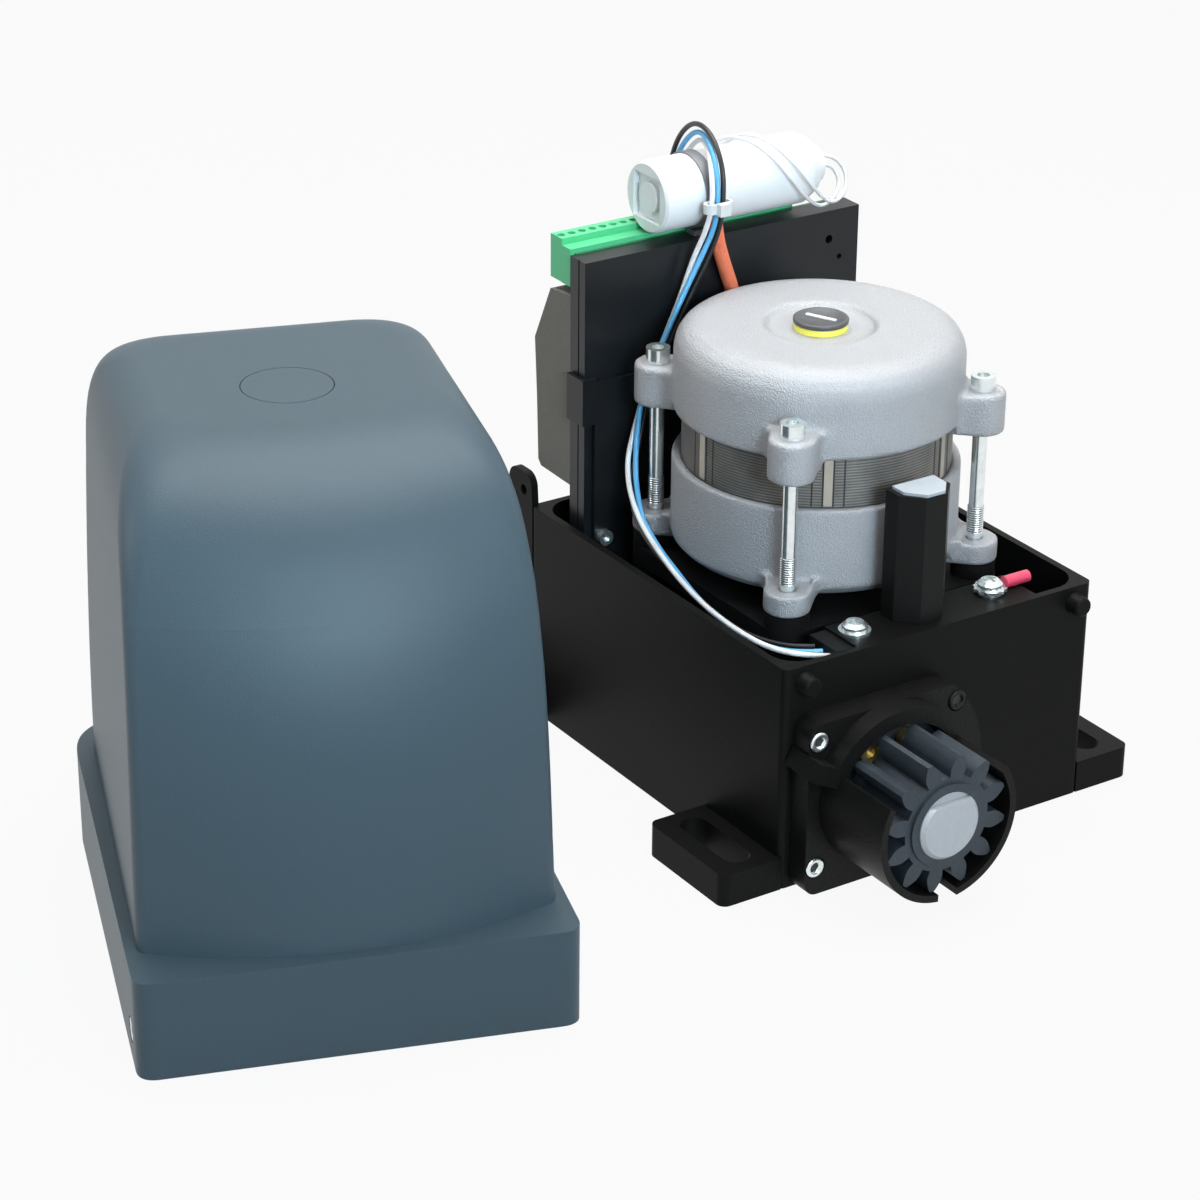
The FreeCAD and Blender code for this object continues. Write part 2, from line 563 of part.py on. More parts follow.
def spur_outline(teeth, module, shift, backlash=0.0, turn=0.0):
    """Closed wire of an involute gear about the origin, with a tooth at the turn angle."""
    pressure = math.radians(20)
    pitch_r = module * teeth / 2
    base_r = pitch_r * math.cos(pressure)
    tip_r = pitch_r + module * (1 + shift)
    root_r = pitch_r - module * (1.25 - shift)
    start_r = max(base_r, root_r + 0.05 * module)
    spread = math.tan(pressure) - pressure
    thickness = module * (math.pi / 2 + 2 * shift * math.tan(pressure)) - backlash
    half = thickness / (2 * pitch_r) + spread

    def flank(radius):
        roll = math.acos(min(1, base_r / radius))
        return half - (math.tan(roll) - roll)

    steps = [start_r + (tip_r - start_r) * i / 4 for i in range(5)]
    edges = []
    for tooth in range(teeth):
        middle = turn + 2 * math.pi * tooth / teeth
        following = middle + 2 * math.pi / teeth
        rising = [polar(r, middle - flank(r)) for r in steps]
        falling = [polar(r, middle + flank(r)) for r in reversed(steps)]
        root_in = polar(root_r, middle - flank(start_r))
        root_out = polar(root_r, middle + flank(start_r))
        next_in = polar(root_r, following - flank(start_r))
        edges.append(Part.makeLine(root_in, rising[0]))
        for points in (rising, falling):
            curve = Part.BSplineCurve()
            curve.interpolate(points)
            if points is falling:
                arc = Part.Arc(rising[-1], polar(tip_r, middle), falling[0])
                edges.append(arc.toShape())
            edges.append(curve.toShape())
        edges.append(Part.makeLine(falling[-1], root_out))
        gap = Part.Arc(root_out, polar(root_r, (middle + following) / 2), next_in)
        edges.append(gap.toShape())
    return Part.Wire(edges)


def make_pinion():
    """Spur pinion, drilled for the shaft and keyed to it, its face along +X."""
    turn = math.radians(90 + size("tooth_turn"))
    outline = spur_outline(int(size("pinion_teeth")), size("pinion_module"),
                           size("pinion_shift"), turn=turn)
    blank = Part.Face(outline).extrude(Vector(0, 0, size("pinion_face")))
    bore_r = size("shaft_width") / 2
    hub = Part.makeCylinder(bore_r + 3.4, size("pinion_face") + 1.2)
    bore = Part.makeCylinder(bore_r, size("pinion_face") + 4, Vector(0, 0, -1))
    keyway = Part.makeBox(4, 8, size("pinion_face") - 8, Vector(-bore_r - 3, -4, 4))
    return blank.fuse(hub).cut(bore).cut(keyway).removeSplitter()


node("pinion", shaped("pinion_shape", make_pinion(),
                      (f"{FRONT} + pinion_back", *SHAFT_AT), ALONG["x"]))


def make_worm_wheel():
    """Helical wheel that matches the worm's lead, as ruled teeth between turned outlines."""
    teeth = int(size("wheel_teeth"))
    module = size("worm_module")
    pitch_r = module * teeth / 2
    worm_r = size("shaft_side") - pitch_r
    lead = module / (2 * worm_r)
    face = size("wheel_face")
    twist = face * lead / pitch_r
    # turned onto the shaft, the outline's -X side faces up: a gap faces the worm at +Y
    gap = math.pi / 2 + math.pi / teeth
    ends = []
    for side in (0, 1):
        wire = spur_outline(teeth, module, 0, size("mesh_backlash"),
                            gap + (side - 0.5) * twist)
        wire.translate(Vector(0, 0, face * side))
        ends.append(wire)
    blank = Part.makeLoft(ends, True, True)
    hub_r = pitch_r - 3
    hub = Part.makeCylinder(hub_r, face + 6, Vector(0, 0, -3))
    bore_r = size("shaft_width") / 2
    bore = Part.makeCylinder(bore_r, face + 8, Vector(0, 0, -4))
    keyway = Part.makeBox(4, 8, face - 2, Vector(-bore_r - 3, -4, 1))
    return blank.fuse(hub).cut(bore).cut(keyway).removeSplitter()


node("worm_wheel", shaped("worm_wheel_shape", make_worm_wheel(),
                          ("gear_x - wheel_face / 2", *SHAFT_AT), ALONG["x"]))


# --- motor shaft, worm and rotor -----------------------------------------------------

STACK_START = f"({MOTOR_Z} + bell_start + lower_bell - stack_seat)"
STACK_END = f"({STACK_START} + stack_shown + 2 * stack_seat)"
BELL_TOP = f"({STACK_END} - stack_seat + upper_bell)"
WORM_END = "(shaft_height + worm_length / 2)"
FOOT_Z = "(base_floor + case_wall)"
LOWER_SEAT = f"({MOTOR_Z} + bell_start + 2)"
UPPER_SEAT = f"({BELL_TOP} - 18)"

node("motor_shaft", turned("motor_shaft_turned", [
    (0, f"{FOOT_Z} + 0.5"), ("foot_bearing_bore / 2", f"{FOOT_Z} + 0.5"),
    ("foot_bearing_bore / 2", f"{FOOT_Z} + foot_bearing_depth + 1"),
    ("worm_bore / 2", f"{FOOT_Z} + foot_bearing_depth + 1"), ("worm_bore / 2", f"{WORM_END} + 4"),
    ("lower_journal / 2", f"{WORM_END} + 4"),
    ("lower_journal / 2", f"{LOWER_SEAT} + lower_bearing_depth + 1"),
    ("rotor_seat / 2", f"{LOWER_SEAT} + lower_bearing_depth + 1"),
    ("rotor_seat / 2", f"{UPPER_SEAT} - 4"), ("upper_journal / 2", f"{UPPER_SEAT} - 4"),
    ("upper_journal / 2", f"{UPPER_SEAT} + upper_bearing_depth"),
    (0, f"{UPPER_SEAT} + upper_bearing_depth")], ("gear_x", 0, 0)))


def make_worm():
    """Single-start right-hand worm: a trapezoid thread swept along a helix onto its sleeve."""
    module = size("worm_module")
    pitch_r = size("shaft_side") - module * size("wheel_teeth") / 2
    root_r = pitch_r - 1.25 * module
    pitch = math.pi * module
    length = size("worm_length")
    turns = math.floor(length / pitch) - 1
    slope = math.tan(math.radians(20))
    half = pitch / 4 - size("mesh_backlash") / 4
    sink = 0.4
    low = half + (1.25 * module + sink) * slope
    high = half - module * slope
    start = -turns * pitch / 2
    helix = Part.makeHelix(pitch, turns * pitch, pitch_r)
    profile = Part.makePolygon([
        Vector(root_r - sink, 0, -low), Vector(pitch_r + module, 0, -high),
        Vector(pitch_r + module, 0, high), Vector(root_r - sink, 0, low),
        Vector(root_r - sink, 0, -low)])
    thread = Part.Wire(helix).makePipeShell([profile], True, True)
    thread.translate(Vector(0, 0, start))
    sleeve = Part.makeCylinder(root_r, length, Vector(0, 0, -length / 2))
    bore = Part.makeCylinder(size("worm_bore") / 2, length, Vector(0, 0, -length / 2))
    whole = sleeve.fuse(thread)
    # a crest of the thread lies on the wheel's side, at -Y
    whole.rotate(Vector(), Vector(0, 0, 1), -90 + 360 * (turns / 2 % 1))
    return whole.cut(bore)


node("worm", shaped("worm_shape", make_worm(), ("gear_x", 0, "shaft_height")))

node("rotor_core", turned("rotor_turned", [
    ("rotor_seat / 2", f"{STACK_START} - 4"), ("rotor_width / 2 - 6", f"{STACK_START} - 4"),
    ("rotor_width / 2 - 4", STACK_START), ("rotor_width / 2", STACK_START),
    ("rotor_width / 2", STACK_END), ("rotor_width / 2 - 4", STACK_END),
    ("rotor_width / 2 - 6", f"{STACK_END} + 4"), ("rotor_seat / 2", f"{STACK_END} + 4")],
    ("gear_x", 0, 0)))
bearing("motor_lower_bearing", "lower_journal", "lower_bearing_width", "lower_bearing_depth",
        ("gear_x", 0, LOWER_SEAT), "z")
bearing("motor_upper_bearing", "upper_journal", "upper_bearing_width", "upper_bearing_depth",
        ("gear_x", 0, UPPER_SEAT), "z")


# --- stator and bells ----------------------------------------------------------------

def make_stator_core():
    """Ring of laminations with a row of welds and slots down its outside."""
    core = turned("stator_turned", [
        ("rotor_width / 2 + air_gap", STACK_START), ("stack_width / 2", STACK_START),
        ("stack_width / 2", STACK_END), ("rotor_width / 2 + air_gap", STACK_END)],
        ("gear_x", 0, 0))
    return core


node("stator_core", make_stator_core())


def winding(name, low, high):
    return turned(name, [("rotor_width / 2 + 3", low), ("stack_width / 2 - 7", low),
                         ("stack_width / 2 - 4", f"({low} + {high}) / 2"),
                         ("stack_width / 2 - 7", high), ("rotor_width / 2 + 3", high)],
                  ("gear_x", 0, 0))


node("stator_windings", group("windings_pair", [
    winding("lower_winding", f"{STACK_START} - 12", f"{STACK_START}"),
    winding("upper_winding", f"{STACK_END}", f"{STACK_END} + 12")]))


def ears(low, depth, bell_r):
    """Four lugs round a bell with webs that run into its side."""
    parts = []
    for i, j in BOLT_SPOTS:
        at = (f"gear_x + {i} * {BOLT}", f"{j} * {BOLT}", low)
        parts.append(rod("ear_lug", "z", at, "ear_width / 2", depth))
        web = doc.addObject("Part::Box", "ear_web")
        bind(web, "Length", f"{BOLT} * 1.414 - {bell_r} + 12")
        bind(web, "Width", "ear_width")
        bind(web, "Height", depth)
        angle = math.degrees(math.atan2(j, i))
        turn = Rotation(Vector(0, 0, 1), angle)
        reach = evaluated(bell_r) - 12
        offset = turn.multVec(Vector(reach, -size("ear_width") / 2, 0))
        web.Placement = Placement(Vector(evaluated("gear_x"), 0, 0) + offset, turn)
        bind(web, "Placement.Base.z", low)
        parts.append(web)
    return parts


def bolt_holes(low, depth):
    return [rod("ear_hole", "z", (f"gear_x + {i} * {BOLT}", f"{j} * {BOLT}", low),
                "m_six / 2 + 0.3", depth) for i, j in BOLT_SPOTS]


def make_lower_bell():
    base = f"({MOTOR_Z} + bell_start)"
    rim = f"({base} + lower_bell)"
    cup = turned("lower_cup", [
        ("lower_bearing_width / 2 + 6", f"{base} - 12"), ("lower_bearing_width / 2 + 6", base),
        (f"{BELL_R} - 4", base), (BELL_R, f"{base} + 4"), (BELL_R, rim),
        ("stack_width / 2", rim), ("stack_width / 2", STACK_START),
        ("stack_width / 2 - 2.4", STACK_START), ("stack_width / 2 - 2.4", f"{base} + 7"),
        ("lower_bearing_width / 2 + 5", f"{base} + 4"),
        ("lower_bearing_width / 2 + 5", f"{LOWER_SEAT} + lower_bearing_depth + 0.5"),
        ("lower_bearing_width / 2", f"{LOWER_SEAT} + lower_bearing_depth + 0.5"),
        ("lower_bearing_width / 2", LOWER_SEAT), ("lower_journal / 2 + 4", LOWER_SEAT),
        ("lower_journal / 2 + 4", f"{base} - 12")], ("gear_x", 0, 0))
    body = join("lower_bell_body", [cup] + ears(MOTOR_Z, "lower_ear", BELL_R))
    inside = rod("lower_bell_inside", "z", ("gear_x", 0, f"{base} + 7"),
                 "stack_width / 2 - 2.4", "lower_bell")
    keep = rod("lower_hub_keep", "z", ("gear_x", 0, f"{base} + 6"),
               "lower_bearing_width / 2 + 5", "lower_bell")
    clear = cut("lower_bell_clear", inside, [keep])
    return cut("lower_bell_cut", body, [clear] + bolt_holes(f"{MOTOR_Z} - 1", "lower_ear + 2"))


def make_upper_bell():
    rim = f"({STACK_END} - stack_seat)"
    top = BELL_TOP
    cup = turned("upper_cup", [
        (4.05, f"{top} - 5"), (4.05, f"{top} - recess_depth"),
        ("recess_width / 2", f"{top} - recess_depth"),
        ("recess_width / 2 + 2", top), (f"{BELL_R} - 11", top),
        (f"{BELL_R} - 6.8", f"{top} - 0.9"), (f"{BELL_R} - 3.2", f"{top} - 3.2"),
        (f"{BELL_R} - 0.9", f"{top} - 6.8"), (BELL_R, f"{top} - 11"),
        (BELL_R, rim), ("stack_width / 2", rim), ("stack_width / 2", STACK_END),
        ("stack_width / 2 - 2.4", STACK_END), ("stack_width / 2 - 2.4", f"{top} - 12"),
        ("stack_width / 2 - 6", f"{top} - 7"),
        ("upper_bearing_width / 2 + 5", f"{top} - 6"),
        ("upper_bearing_width / 2 + 5", f"{UPPER_SEAT} + 1"),
        ("upper_bearing_width / 2", f"{UPPER_SEAT} + 1"),
        ("upper_bearing_width / 2", f"{top} - 6"), ("upper_journal / 2 + 4", f"{top} - 6"),
        ("upper_journal / 2 + 4", f"{top} - 5")], ("gear_x", 0, 0))
    low = f"({rim} - ear_drop)"
    body = join("upper_bell_body", [cup] + ears(low, "upper_ear", BELL_R))
    inside = rod("upper_bell_inside", "z", ("gear_x", 0, f"{low} - 1"), "stack_width / 2",
                 "ear_drop + stack_seat + 1")
    inner = rod("upper_bell_inner", "z", ("gear_x", 0, f"{low} - 1"), "stack_width / 2 - 2.4",
                "upper_ear + 1")
    return cut("upper_bell_cut", body, [inside, inner] + bolt_holes(f"{low} - 1", "upper_ear + 2"))


node("lower_bell", make_lower_bell())
node("upper_bell", make_upper_bell())
EAR_TOP = f"({STACK_END} - stack_seat - ear_drop + upper_ear)"
node("motor_bolts", group("motor_bolt_set", [
    cap_screw("motor_bolt", "z", (f"gear_x + {i} * {BOLT}", f"{j} * {BOLT}", EAR_TOP), "m_six",
              f"{EAR_TOP} - {MOTOR_Z} + bolt_tail", "bolt_head") for i, j in BOLT_SPOTS]))

KNOB_Z = f"({BELL_TOP} - recess_depth)"
node("release_knob", turned("release_knob_turned", [
    (0, f"{KNOB_Z} - 3.3"), (4, f"{KNOB_Z} - 3.3"), (4, f"{KNOB_Z} + 0.3"),
    ("knob_width / 2", f"{KNOB_Z} + 0.3"),
    ("knob_width / 2", f"{KNOB_Z} + recess_depth + knob_rise - 0.8"),
    ("knob_width / 2 - 1", f"{KNOB_Z} + recess_depth + knob_rise"),
    (0, f"{KNOB_Z} + recess_depth + knob_rise")], ("gear_x", 0, 0)))
node("release_dial", join("release_dial_joined", [
    rod("dial_disc", "z", ("gear_x", 0, f"{KNOB_Z} + recess_depth + knob_rise"),
        "knob_width / 2 - 2", 2),
    block("dial_grip", ("gear_x - knob_width / 2 + 3", -2.5, f"{KNOB_Z} + recess_depth + knob_rise"),
          "knob_width - 6", 5, 4.5)]))


# --- pinion guard ---------------------------------------------------------------------

def sector(inner_r, outer_r, start, sweep, length):
    """Part of a ring about Z, from the start angle over the sweep, in degrees."""
    ring = Part.makeCylinder(outer_r, length, Vector(), Vector(0, 0, 1), sweep)
    ring = ring.cut(Part.makeCylinder(inner_r, length + 2, Vector(0, 0, -1)))
    ring.rotate(Vector(), Vector(0, 0, 1), start)
    return ring


def make_guard():
    """Flanged guard: plate, half collar over the top and a shell open where the rack runs."""
    bore_r = evaluated(GUARD_BORE)
    wall = size("guard_wall")
    plate_t = size("guard_plate")
    side, height = size("guard_side"), size("guard_height")
    low = -size("shaft_height") + 0.5
    high = height - size("shaft_height")
    arc_r = size("guard_arc")
    corner = size("guard_corner")
    # in this outline x runs across the base and y runs up, about the shaft's axis
    top_x = math.sqrt(arc_r ** 2 - high ** 2)
    low_x = math.sqrt(arc_r ** 2 - low ** 2)
    slab = Part.Face(Part.Wire([
        Part.makeLine(Vector(-side, low, 0), Vector(low_x, low, 0)),
        Part.Arc(Vector(low_x, low, 0), Vector(arc_r, 0, 0), Vector(top_x, high, 0)).toShape(),
        Part.makeLine(Vector(top_x, high, 0), Vector(-side, high, 0)),
        Part.makeLine(Vector(-side, high, 0), Vector(-side, low, 0))]))
    slab = slab.extrude(Vector(0, 0, plate_t))
    corners = [e for e in slab.Edges if upright(e) and e.Vertexes[0].X < -side + 0.1]
    slab = slab.makeFillet(corner, corners)
    outer_r = bore_r + wall
    shell = sector(bore_r, outer_r, 152, 241, size("guard_reach") - 1)
    shell.translate(Vector(0, 0, 1))
    collar = sector(bore_r, outer_r + size("collar_wall") - wall, 18, 136,
                    size("collar_reach") - 1)
    collar.translate(Vector(0, 0, 1))
    lug = Part.makeBox(15, 8, size("collar_reach") - 1, Vector(bore_r + 0.5, -4, 1))
    lug.rotate(Vector(), Vector(0, 0, 1), 154)
    whole = slab.fuse([shell, collar, lug])
    bore = Part.makeCylinder(bore_r, plate_t + 1, Vector(0, 0, -1))
    notch = Part.makeBox(9, 12, 14, Vector(-3.5, -outer_r - 4, size("guard_reach") - 12))
    tools = [bore, notch]
    for i, j in BOLT_SPOTS:
        spot = Vector(i * size("guard_screw_y"), j * size("guard_screw_z"), 0)
        tools.append(Part.makeCylinder(size("m_five") / 2 + 0.2, plate_t + 2,
                                       spot + Vector(0, 0, -1)))
        tools.append(Part.makeCylinder(size("m_five") * 0.83 + 0.6, 60,
                                       spot + Vector(0, 0, plate_t - 1)))
    return whole.cut(tools).removeSplitter()


guard = shaped("guard_shape", make_guard())
guard.Placement = Placement(Vector(), Rotation(Vector(1, 1, 1), 120))
for axis, formula in zip("xyz", (FRONT, *SHAFT_AT)):
    bind(guard, f"Placement.Base.{axis}", formula)
node("pinion_guard", guard)
node("guard_screws", group("guard_screw_set", [
    cap_screw("guard_screw", "x", (f"{FRONT} + guard_plate - 1", f"{SHAFT_Y} + {i} * guard_screw_y",
                                   f"shaft_height + {j} * guard_screw_z"), "m_five",
              "guard_plate + base_wall + 8", "m_five") for i, j in BOLT_SPOTS]))


# --- sensor tower, screws and earth terminal on the front ledge -----------------------

TOWER = [("ledge_depth - 17.8", -15), ("ledge_depth - 9.8", -15), ("ledge_depth - 1.8", -7.5),
         ("ledge_depth - 1.8", 3), ("ledge_depth - 8.8", 9.5), ("ledge_depth - 17.8", 9.5)]
LEDGE_BACK = f"{FRONT} - base_wall - ledge_depth"
node("sensor_tower", plate("tower_prism", TOWER, "tower_height", (LEDGE_BACK, 0, "base_height")))
CAP = [(f"({x}) * 0.9 + 1.4", f"({y}) * 0.82 - 0.5") for x, y in TOWER]
node("sensor_cap", plate("tower_cap", CAP, 1.2,
                         (LEDGE_BACK, 0, "base_height + tower_height")))


LEDGE_SCREW = (f"{FRONT} - 14.3", "-32.6")
EARTH_SCREW = (f"{FRONT} - 14.3", "34.4")


def pan_screw(name, spot, z):
    """A pan-head screw standing in the ledge, the underside of its head at height z."""
    x, y = spot
    shank = rod(f"{name}_shank", "z", (x, y, "base_height - 6"), 2, f"{z} - base_height + 6.5")
    head = turned(f"{name}_head", [(0, 0), (5.2, 0), (5.2, 1.8), (3.6, 3.2), (0, 3.7)], (x, y, z))
    slot = block(f"{name}_slot", (f"{x} - 0.6", f"{y} - 3", f"{z} + 2"), 1.2, 6, 3)
    cross = block(f"{name}_cross", (f"{x} - 3", f"{y} - 0.6", f"{z} + 2"), 6, 1.2, 3)
    return cut(name, join(f"{name}_solid", [shank, head]), [slot, cross])


node("ledge_screw", pan_screw("ledge_screw_made", LEDGE_SCREW, "(base_height + 1.2)"))
node("ledge_washer", turned("ledge_washer_turned", [(2.1, 0), (6.5, 0), (6.5, 1.2), (2.1, 1.2)],
                            (*LEDGE_SCREW, "base_height")))
node("earth_screw", pan_screw("earth_screw_made", EARTH_SCREW, "(base_height + 2.4)"))


def make_toothed_washer():
    """Serrated washer: a ring with a crown of small teeth."""
    count = 12
    points = []
    for i in range(2 * count + 1):
        points.append(polar(7.0 if i % 2 else 6.1, math.pi * i / count))
    star = Part.Face(Part.makePolygon(points)).extrude(Vector(0, 0, 1.2))
    return star.cut(Part.makeCylinder(2.1, 2))


node("toothed_washer", shaped("toothed_washer_shape", make_toothed_washer(),
                              (*EARTH_SCREW, "base_height + 1.2")))
EYE = rod("ring_eye", "z", (*EARTH_SCREW, "base_height"), 5.5, 1.2)
TAIL = block("ring_tail", (f"{FRONT} - 16", "38", "base_height"), 3.4, 3.6, 1.2)
EYE_HOLE = rod("ring_hole", "z", (*EARTH_SCREW, "base_height - 1"), 2.1, 4)
node("ring_terminal", cut("ring_cut", join("ring_joined", [EYE, TAIL]), [EYE_HOLE]))
node("terminal_sleeve", rod("sleeve_rod", "y", (f"{FRONT} - 14.3", 41.6, "base_height + 2.5"),
                            2.5, 12))


# --- control box ----------------------------------------------------------------------

LID_BACK = f"({PANEL_X} - lid_depth)"
BOX_WIDTH = "(box_left + box_right)"


def make_lid():
    outer = block("lid_outer", (LID_BACK, "-box_left", "box_bottom"), "lid_depth", BOX_WIDTH,
                  "box_top - box_bottom")
    inner = block("lid_inner", (f"{LID_BACK} - 1", "-box_left + box_wall", "box_bottom + box_wall"),
                  "lid_depth - box_wall + 1", f"{BOX_WIDTH} - 2 * box_wall",
                  "box_top - box_bottom - 2 * box_wall")
    seam = block("lid_seam", (f"{PANEL_X} - 5", "-box_left - 1", "box_bottom - 1"), 0.8, 1.6,
                 "box_top - box_bottom + 2")
    pips = [rod("lid_hole", "x", (f"{PANEL_X} - box_wall - 1", y, z), r, "box_wall + 2")
            for y, z, r in ((52.4, 199, 1.8), (58, 190.4, 1.2))]
    pips += [rod("lid_screw_hole", "x", (f"{PANEL_X} - 5", y, 91), 2, 6) for y in (-61, 60)]
    return cut("lid_cut", outer, [inner, seam] + pips)


node("control_box_lid", make_lid())

HOUSING = [(LID_BACK, 111), (f"{PANEL_X} - 33.2", 111.6), (f"{PANEL_X} - 35.4", 114),
           (f"{PANEL_X} - 36.4", 142), (f"{PANEL_X} - 38", 168), (f"{PANEL_X} - 26", 193),
           (LID_BACK, 194.4)]


def make_housing():
    """Bulged rear half of the control box, open towards the board and for its terminals."""
    outer = plate("housing_outer", HOUSING, BOX_WIDTH, (0, "box_right", 0), ((1, 0, 0), 90))
    inside = [(LID_BACK + " + 1", "111 + box_wall"), (f"{PANEL_X} - 32.2", "111.4 + box_wall"),
              (f"{PANEL_X} - 33.2", 115), (f"{PANEL_X} - 34.2", 142), (f"{PANEL_X} - 35.6", 167.4),
              (f"{PANEL_X} - 24.8", "193 - box_wall"), (LID_BACK + " + 1", "194.4 - box_wall")]
    inner = plate("housing_inner", inside, f"{BOX_WIDTH} - 2 * box_wall",
                  (0, "box_right - box_wall", 0), ((1, 0, 0), 90))
    mouth = block("housing_mouth", (f"{LID_BACK} - 2.4", "-box_left + box_wall", 185), 3.4,
                  f"{BOX_WIDTH} - 2 * box_wall", 20)
    return cut("housing_cut", outer, [inner, mouth])


node("control_box_housing", make_housing())
BOARD_X = f"({LID_BACK} - 0.2 - board_thickness)"
node("circuit_board", block("board_slab", (BOARD_X, "-box_left + 3", "115"), "board_thickness",
                            f"{BOX_WIDTH} - 6", "box_top - 115"))
TERMINAL_Y = "(-box_left + 1)"
STRIP = "(terminal_count * terminal_pitch)"


def make_header():
    return block("header_strip", (f"{BOARD_X} - 6.6", TERMINAL_Y, 197.5), 6.6, STRIP, 16)


def make_plugs():
    """Pluggable screw terminals: one body for each group, with a screw well at each way."""
    plugs = []
    ways = (8, 6, 8)
    first = 0
    for count in ways:
        y0 = f"({TERMINAL_Y} + {first} * terminal_pitch)"
        body = block("plug_body", (f"{BOARD_X} - 15.2", f"{y0} + 0.2", 197.5), 8.4,
                     f"{count} * terminal_pitch - 0.4", 18.5)
        wells = []
        for way in range(count):
            y = f"({y0} + ({way} + 0.5) * terminal_pitch)"
            wells.append(rod("screw_well", "z", (f"{BOARD_X} - 11", y, 213), 1.7, 4))
            wells.append(block("wire_mouth", (f"{BOARD_X} - 16", f"{y} - 1.6", 203), 4, 3.2, 3.6))
        plugs.append(cut("plug", body, wells))
        first += count
    return group("plug_set", plugs)


node("terminal_header", make_header())
node("terminal_plugs", make_plugs())
node("transformer", join("transformer_joined", [
    block("transformer_core", (f"{BOARD_X} - 20", -45, 126), 20, 34, 28),
    block("transformer_bobbin", (f"{BOARD_X} - 19", -40, 121), 19, 24, 38)]))
node("relays", group("relay_set", [
    block("relay", (f"{BOARD_X} - 16", f"{y}", 122), 16, 16, 20) for y in (6, 24, 42)]))
node("fuse_holder", join("fuse_joined", [
    block("fuse_base", (f"{BOARD_X} - 5", -40, 168), 5, 26, 8),
    rod("fuse_glass", "y", (f"{BOARD_X} - 7", -38, 172), 2.6, 22)]))


def make_mount_plate():
    """Plate that carries the control box, with a foot and a clip round each edge of the lid."""
    face = f"{PANEL_X} + 0.3"
    sheet_part = block("mount_sheet", (face, "-box_left + 3.7", "base_floor"),
                       "plate_thickness", f"{BOX_WIDTH} - 7.4", "plate_top - base_floor")
    foot = block("mount_foot", (face, -35, "base_floor"), 16, 70, "plate_thickness")
    clips = []
    for j, edge in ((-1, "-box_left"), (1, "box_right")):
        y0 = f"{edge} + 0.3" if j > 0 else f"{edge} - 0.3 - plate_thickness"
        clips.append(block("clip_side", (f"{LID_BACK} + 1", y0, "plate_top - 18"),
                           "lid_depth + plate_thickness - 0.7", "plate_thickness", 20))
        y1 = f"{edge} - 4" if j > 0 else f"{edge} - 0.3 - plate_thickness"
        clips.append(block("clip_face", (face, y1, "plate_top - 18"),
                           "plate_thickness", "plate_thickness + 4.3", 20))
    whole = join("mount_plate_joined", [sheet_part, foot] + clips)
    notch = block("lead_notch", (PANEL_X, -7, "plate_top - 22"), 4, 14, 30)
    holes = [rod("box_screw_hole", "x", (PANEL_X, y, 91), 2.1, 4) for y in (-61, 60)]
    holes += [rod("foot_screw_hole", "z", (f"{PANEL_X} + 10", y, "base_floor - 1"), 2.1, 4)
              for y in (-25, 25)]
    return cut("mount_plate_cut", whole, [notch] + holes)


node("mount_plate", make_mount_plate())


# --- capacitor -------------------------------------------------------------------------

def make_capacitor():
    can = turned("can_turned", [
        (0, 0), ("can_width / 2 - 1", 0), ("can_width / 2", 1), ("can_width / 2", "can_length - 6"),
        ("can_width / 2 - 3", "can_length"), ("can_width / 2 - 7", "can_length + 2"),
        ("can_width / 2 - 7", "can_length + 5"), (0, "can_length + 5")],
        (CAN_X, "-can_left", "can_z"), "y")
    well = block("cap_well", (f"{CAN_X} - 9.5", "-can_left - 1", "can_z - 9.5"), 19, 3.5, 19)
    dome = turned("cap_dome", [(0, 0), (7, 0), (5, 3), (0, 4)], (CAN_X, "-can_left + 0.5", "can_z"),
                  "y")
    keep = cut("cap_recess", well, [rod("dome_space", "y", (CAN_X, "-can_left + 0.6", "can_z"),
                                        6.5, 3)])
    return cut("can_cut", can, [keep])


node("capacitor", make_capacitor())
node("capacitor_strap", join("strap_joined", [
    turned("strap_ring", [("can_width / 2 + 0.1", 0), ("can_width / 2 + 0.9", 0),
                          ("can_width / 2 + 0.9", 5), ("can_width / 2 + 0.1", 5)],
           (CAN_X, -13.5, "can_z"), "y"),
    block("strap_foot", (f"{LID_BACK} + 1", -13.5, "box_top"), 6, 5, 2.1)]))


# --- cords -----------------------------------------------------------------------------

def cord(label, width, points):
    """A round cord along straight runs joined by tangent arcs."""
    spots = [Vector(*p) for p in points]
    edges = []
    here = spots[0]
    radii = []
    for before, corner, after in zip(spots, spots[1:], spots[2:]):
        come = (corner - before)
        go = (after - corner)
        turn = come.getAngle(go)
        reach = 0.45 * min(come.Length, go.Length)
        radii.append(reach / math.tan(turn / 2))
        come.normalize()
        go.normalize()
        first, last = corner - come * reach, corner + go * reach
        inward = go - come
        inward.normalize()
        radius = radii[-1]
        middle = corner + inward * (radius / math.cos(turn / 2) - radius)
        edges.append(Part.makeLine(here, first))
        edges.append(Part.Arc(first, middle, last).toShape())
        here = last
    edges.append(Part.makeLine(here, spots[-1]))
    path = Part.Wire(edges)
    start = (spots[1] - spots[0])
    ring = Part.Wire(Part.makeCircle(width / 2, spots[0], start))
    tube = path.makePipeShell([ring], True, True)
    expected = math.pi * width ** 2 / 4 * path.Length
    print(f"{label}: length {path.Length:.1f}, tightest radius {min(radii):.1f},"
          f" volume ratio {tube.Volume / expected:.4f}")
    return node(label, shaped(f"{label}_tube", tube))


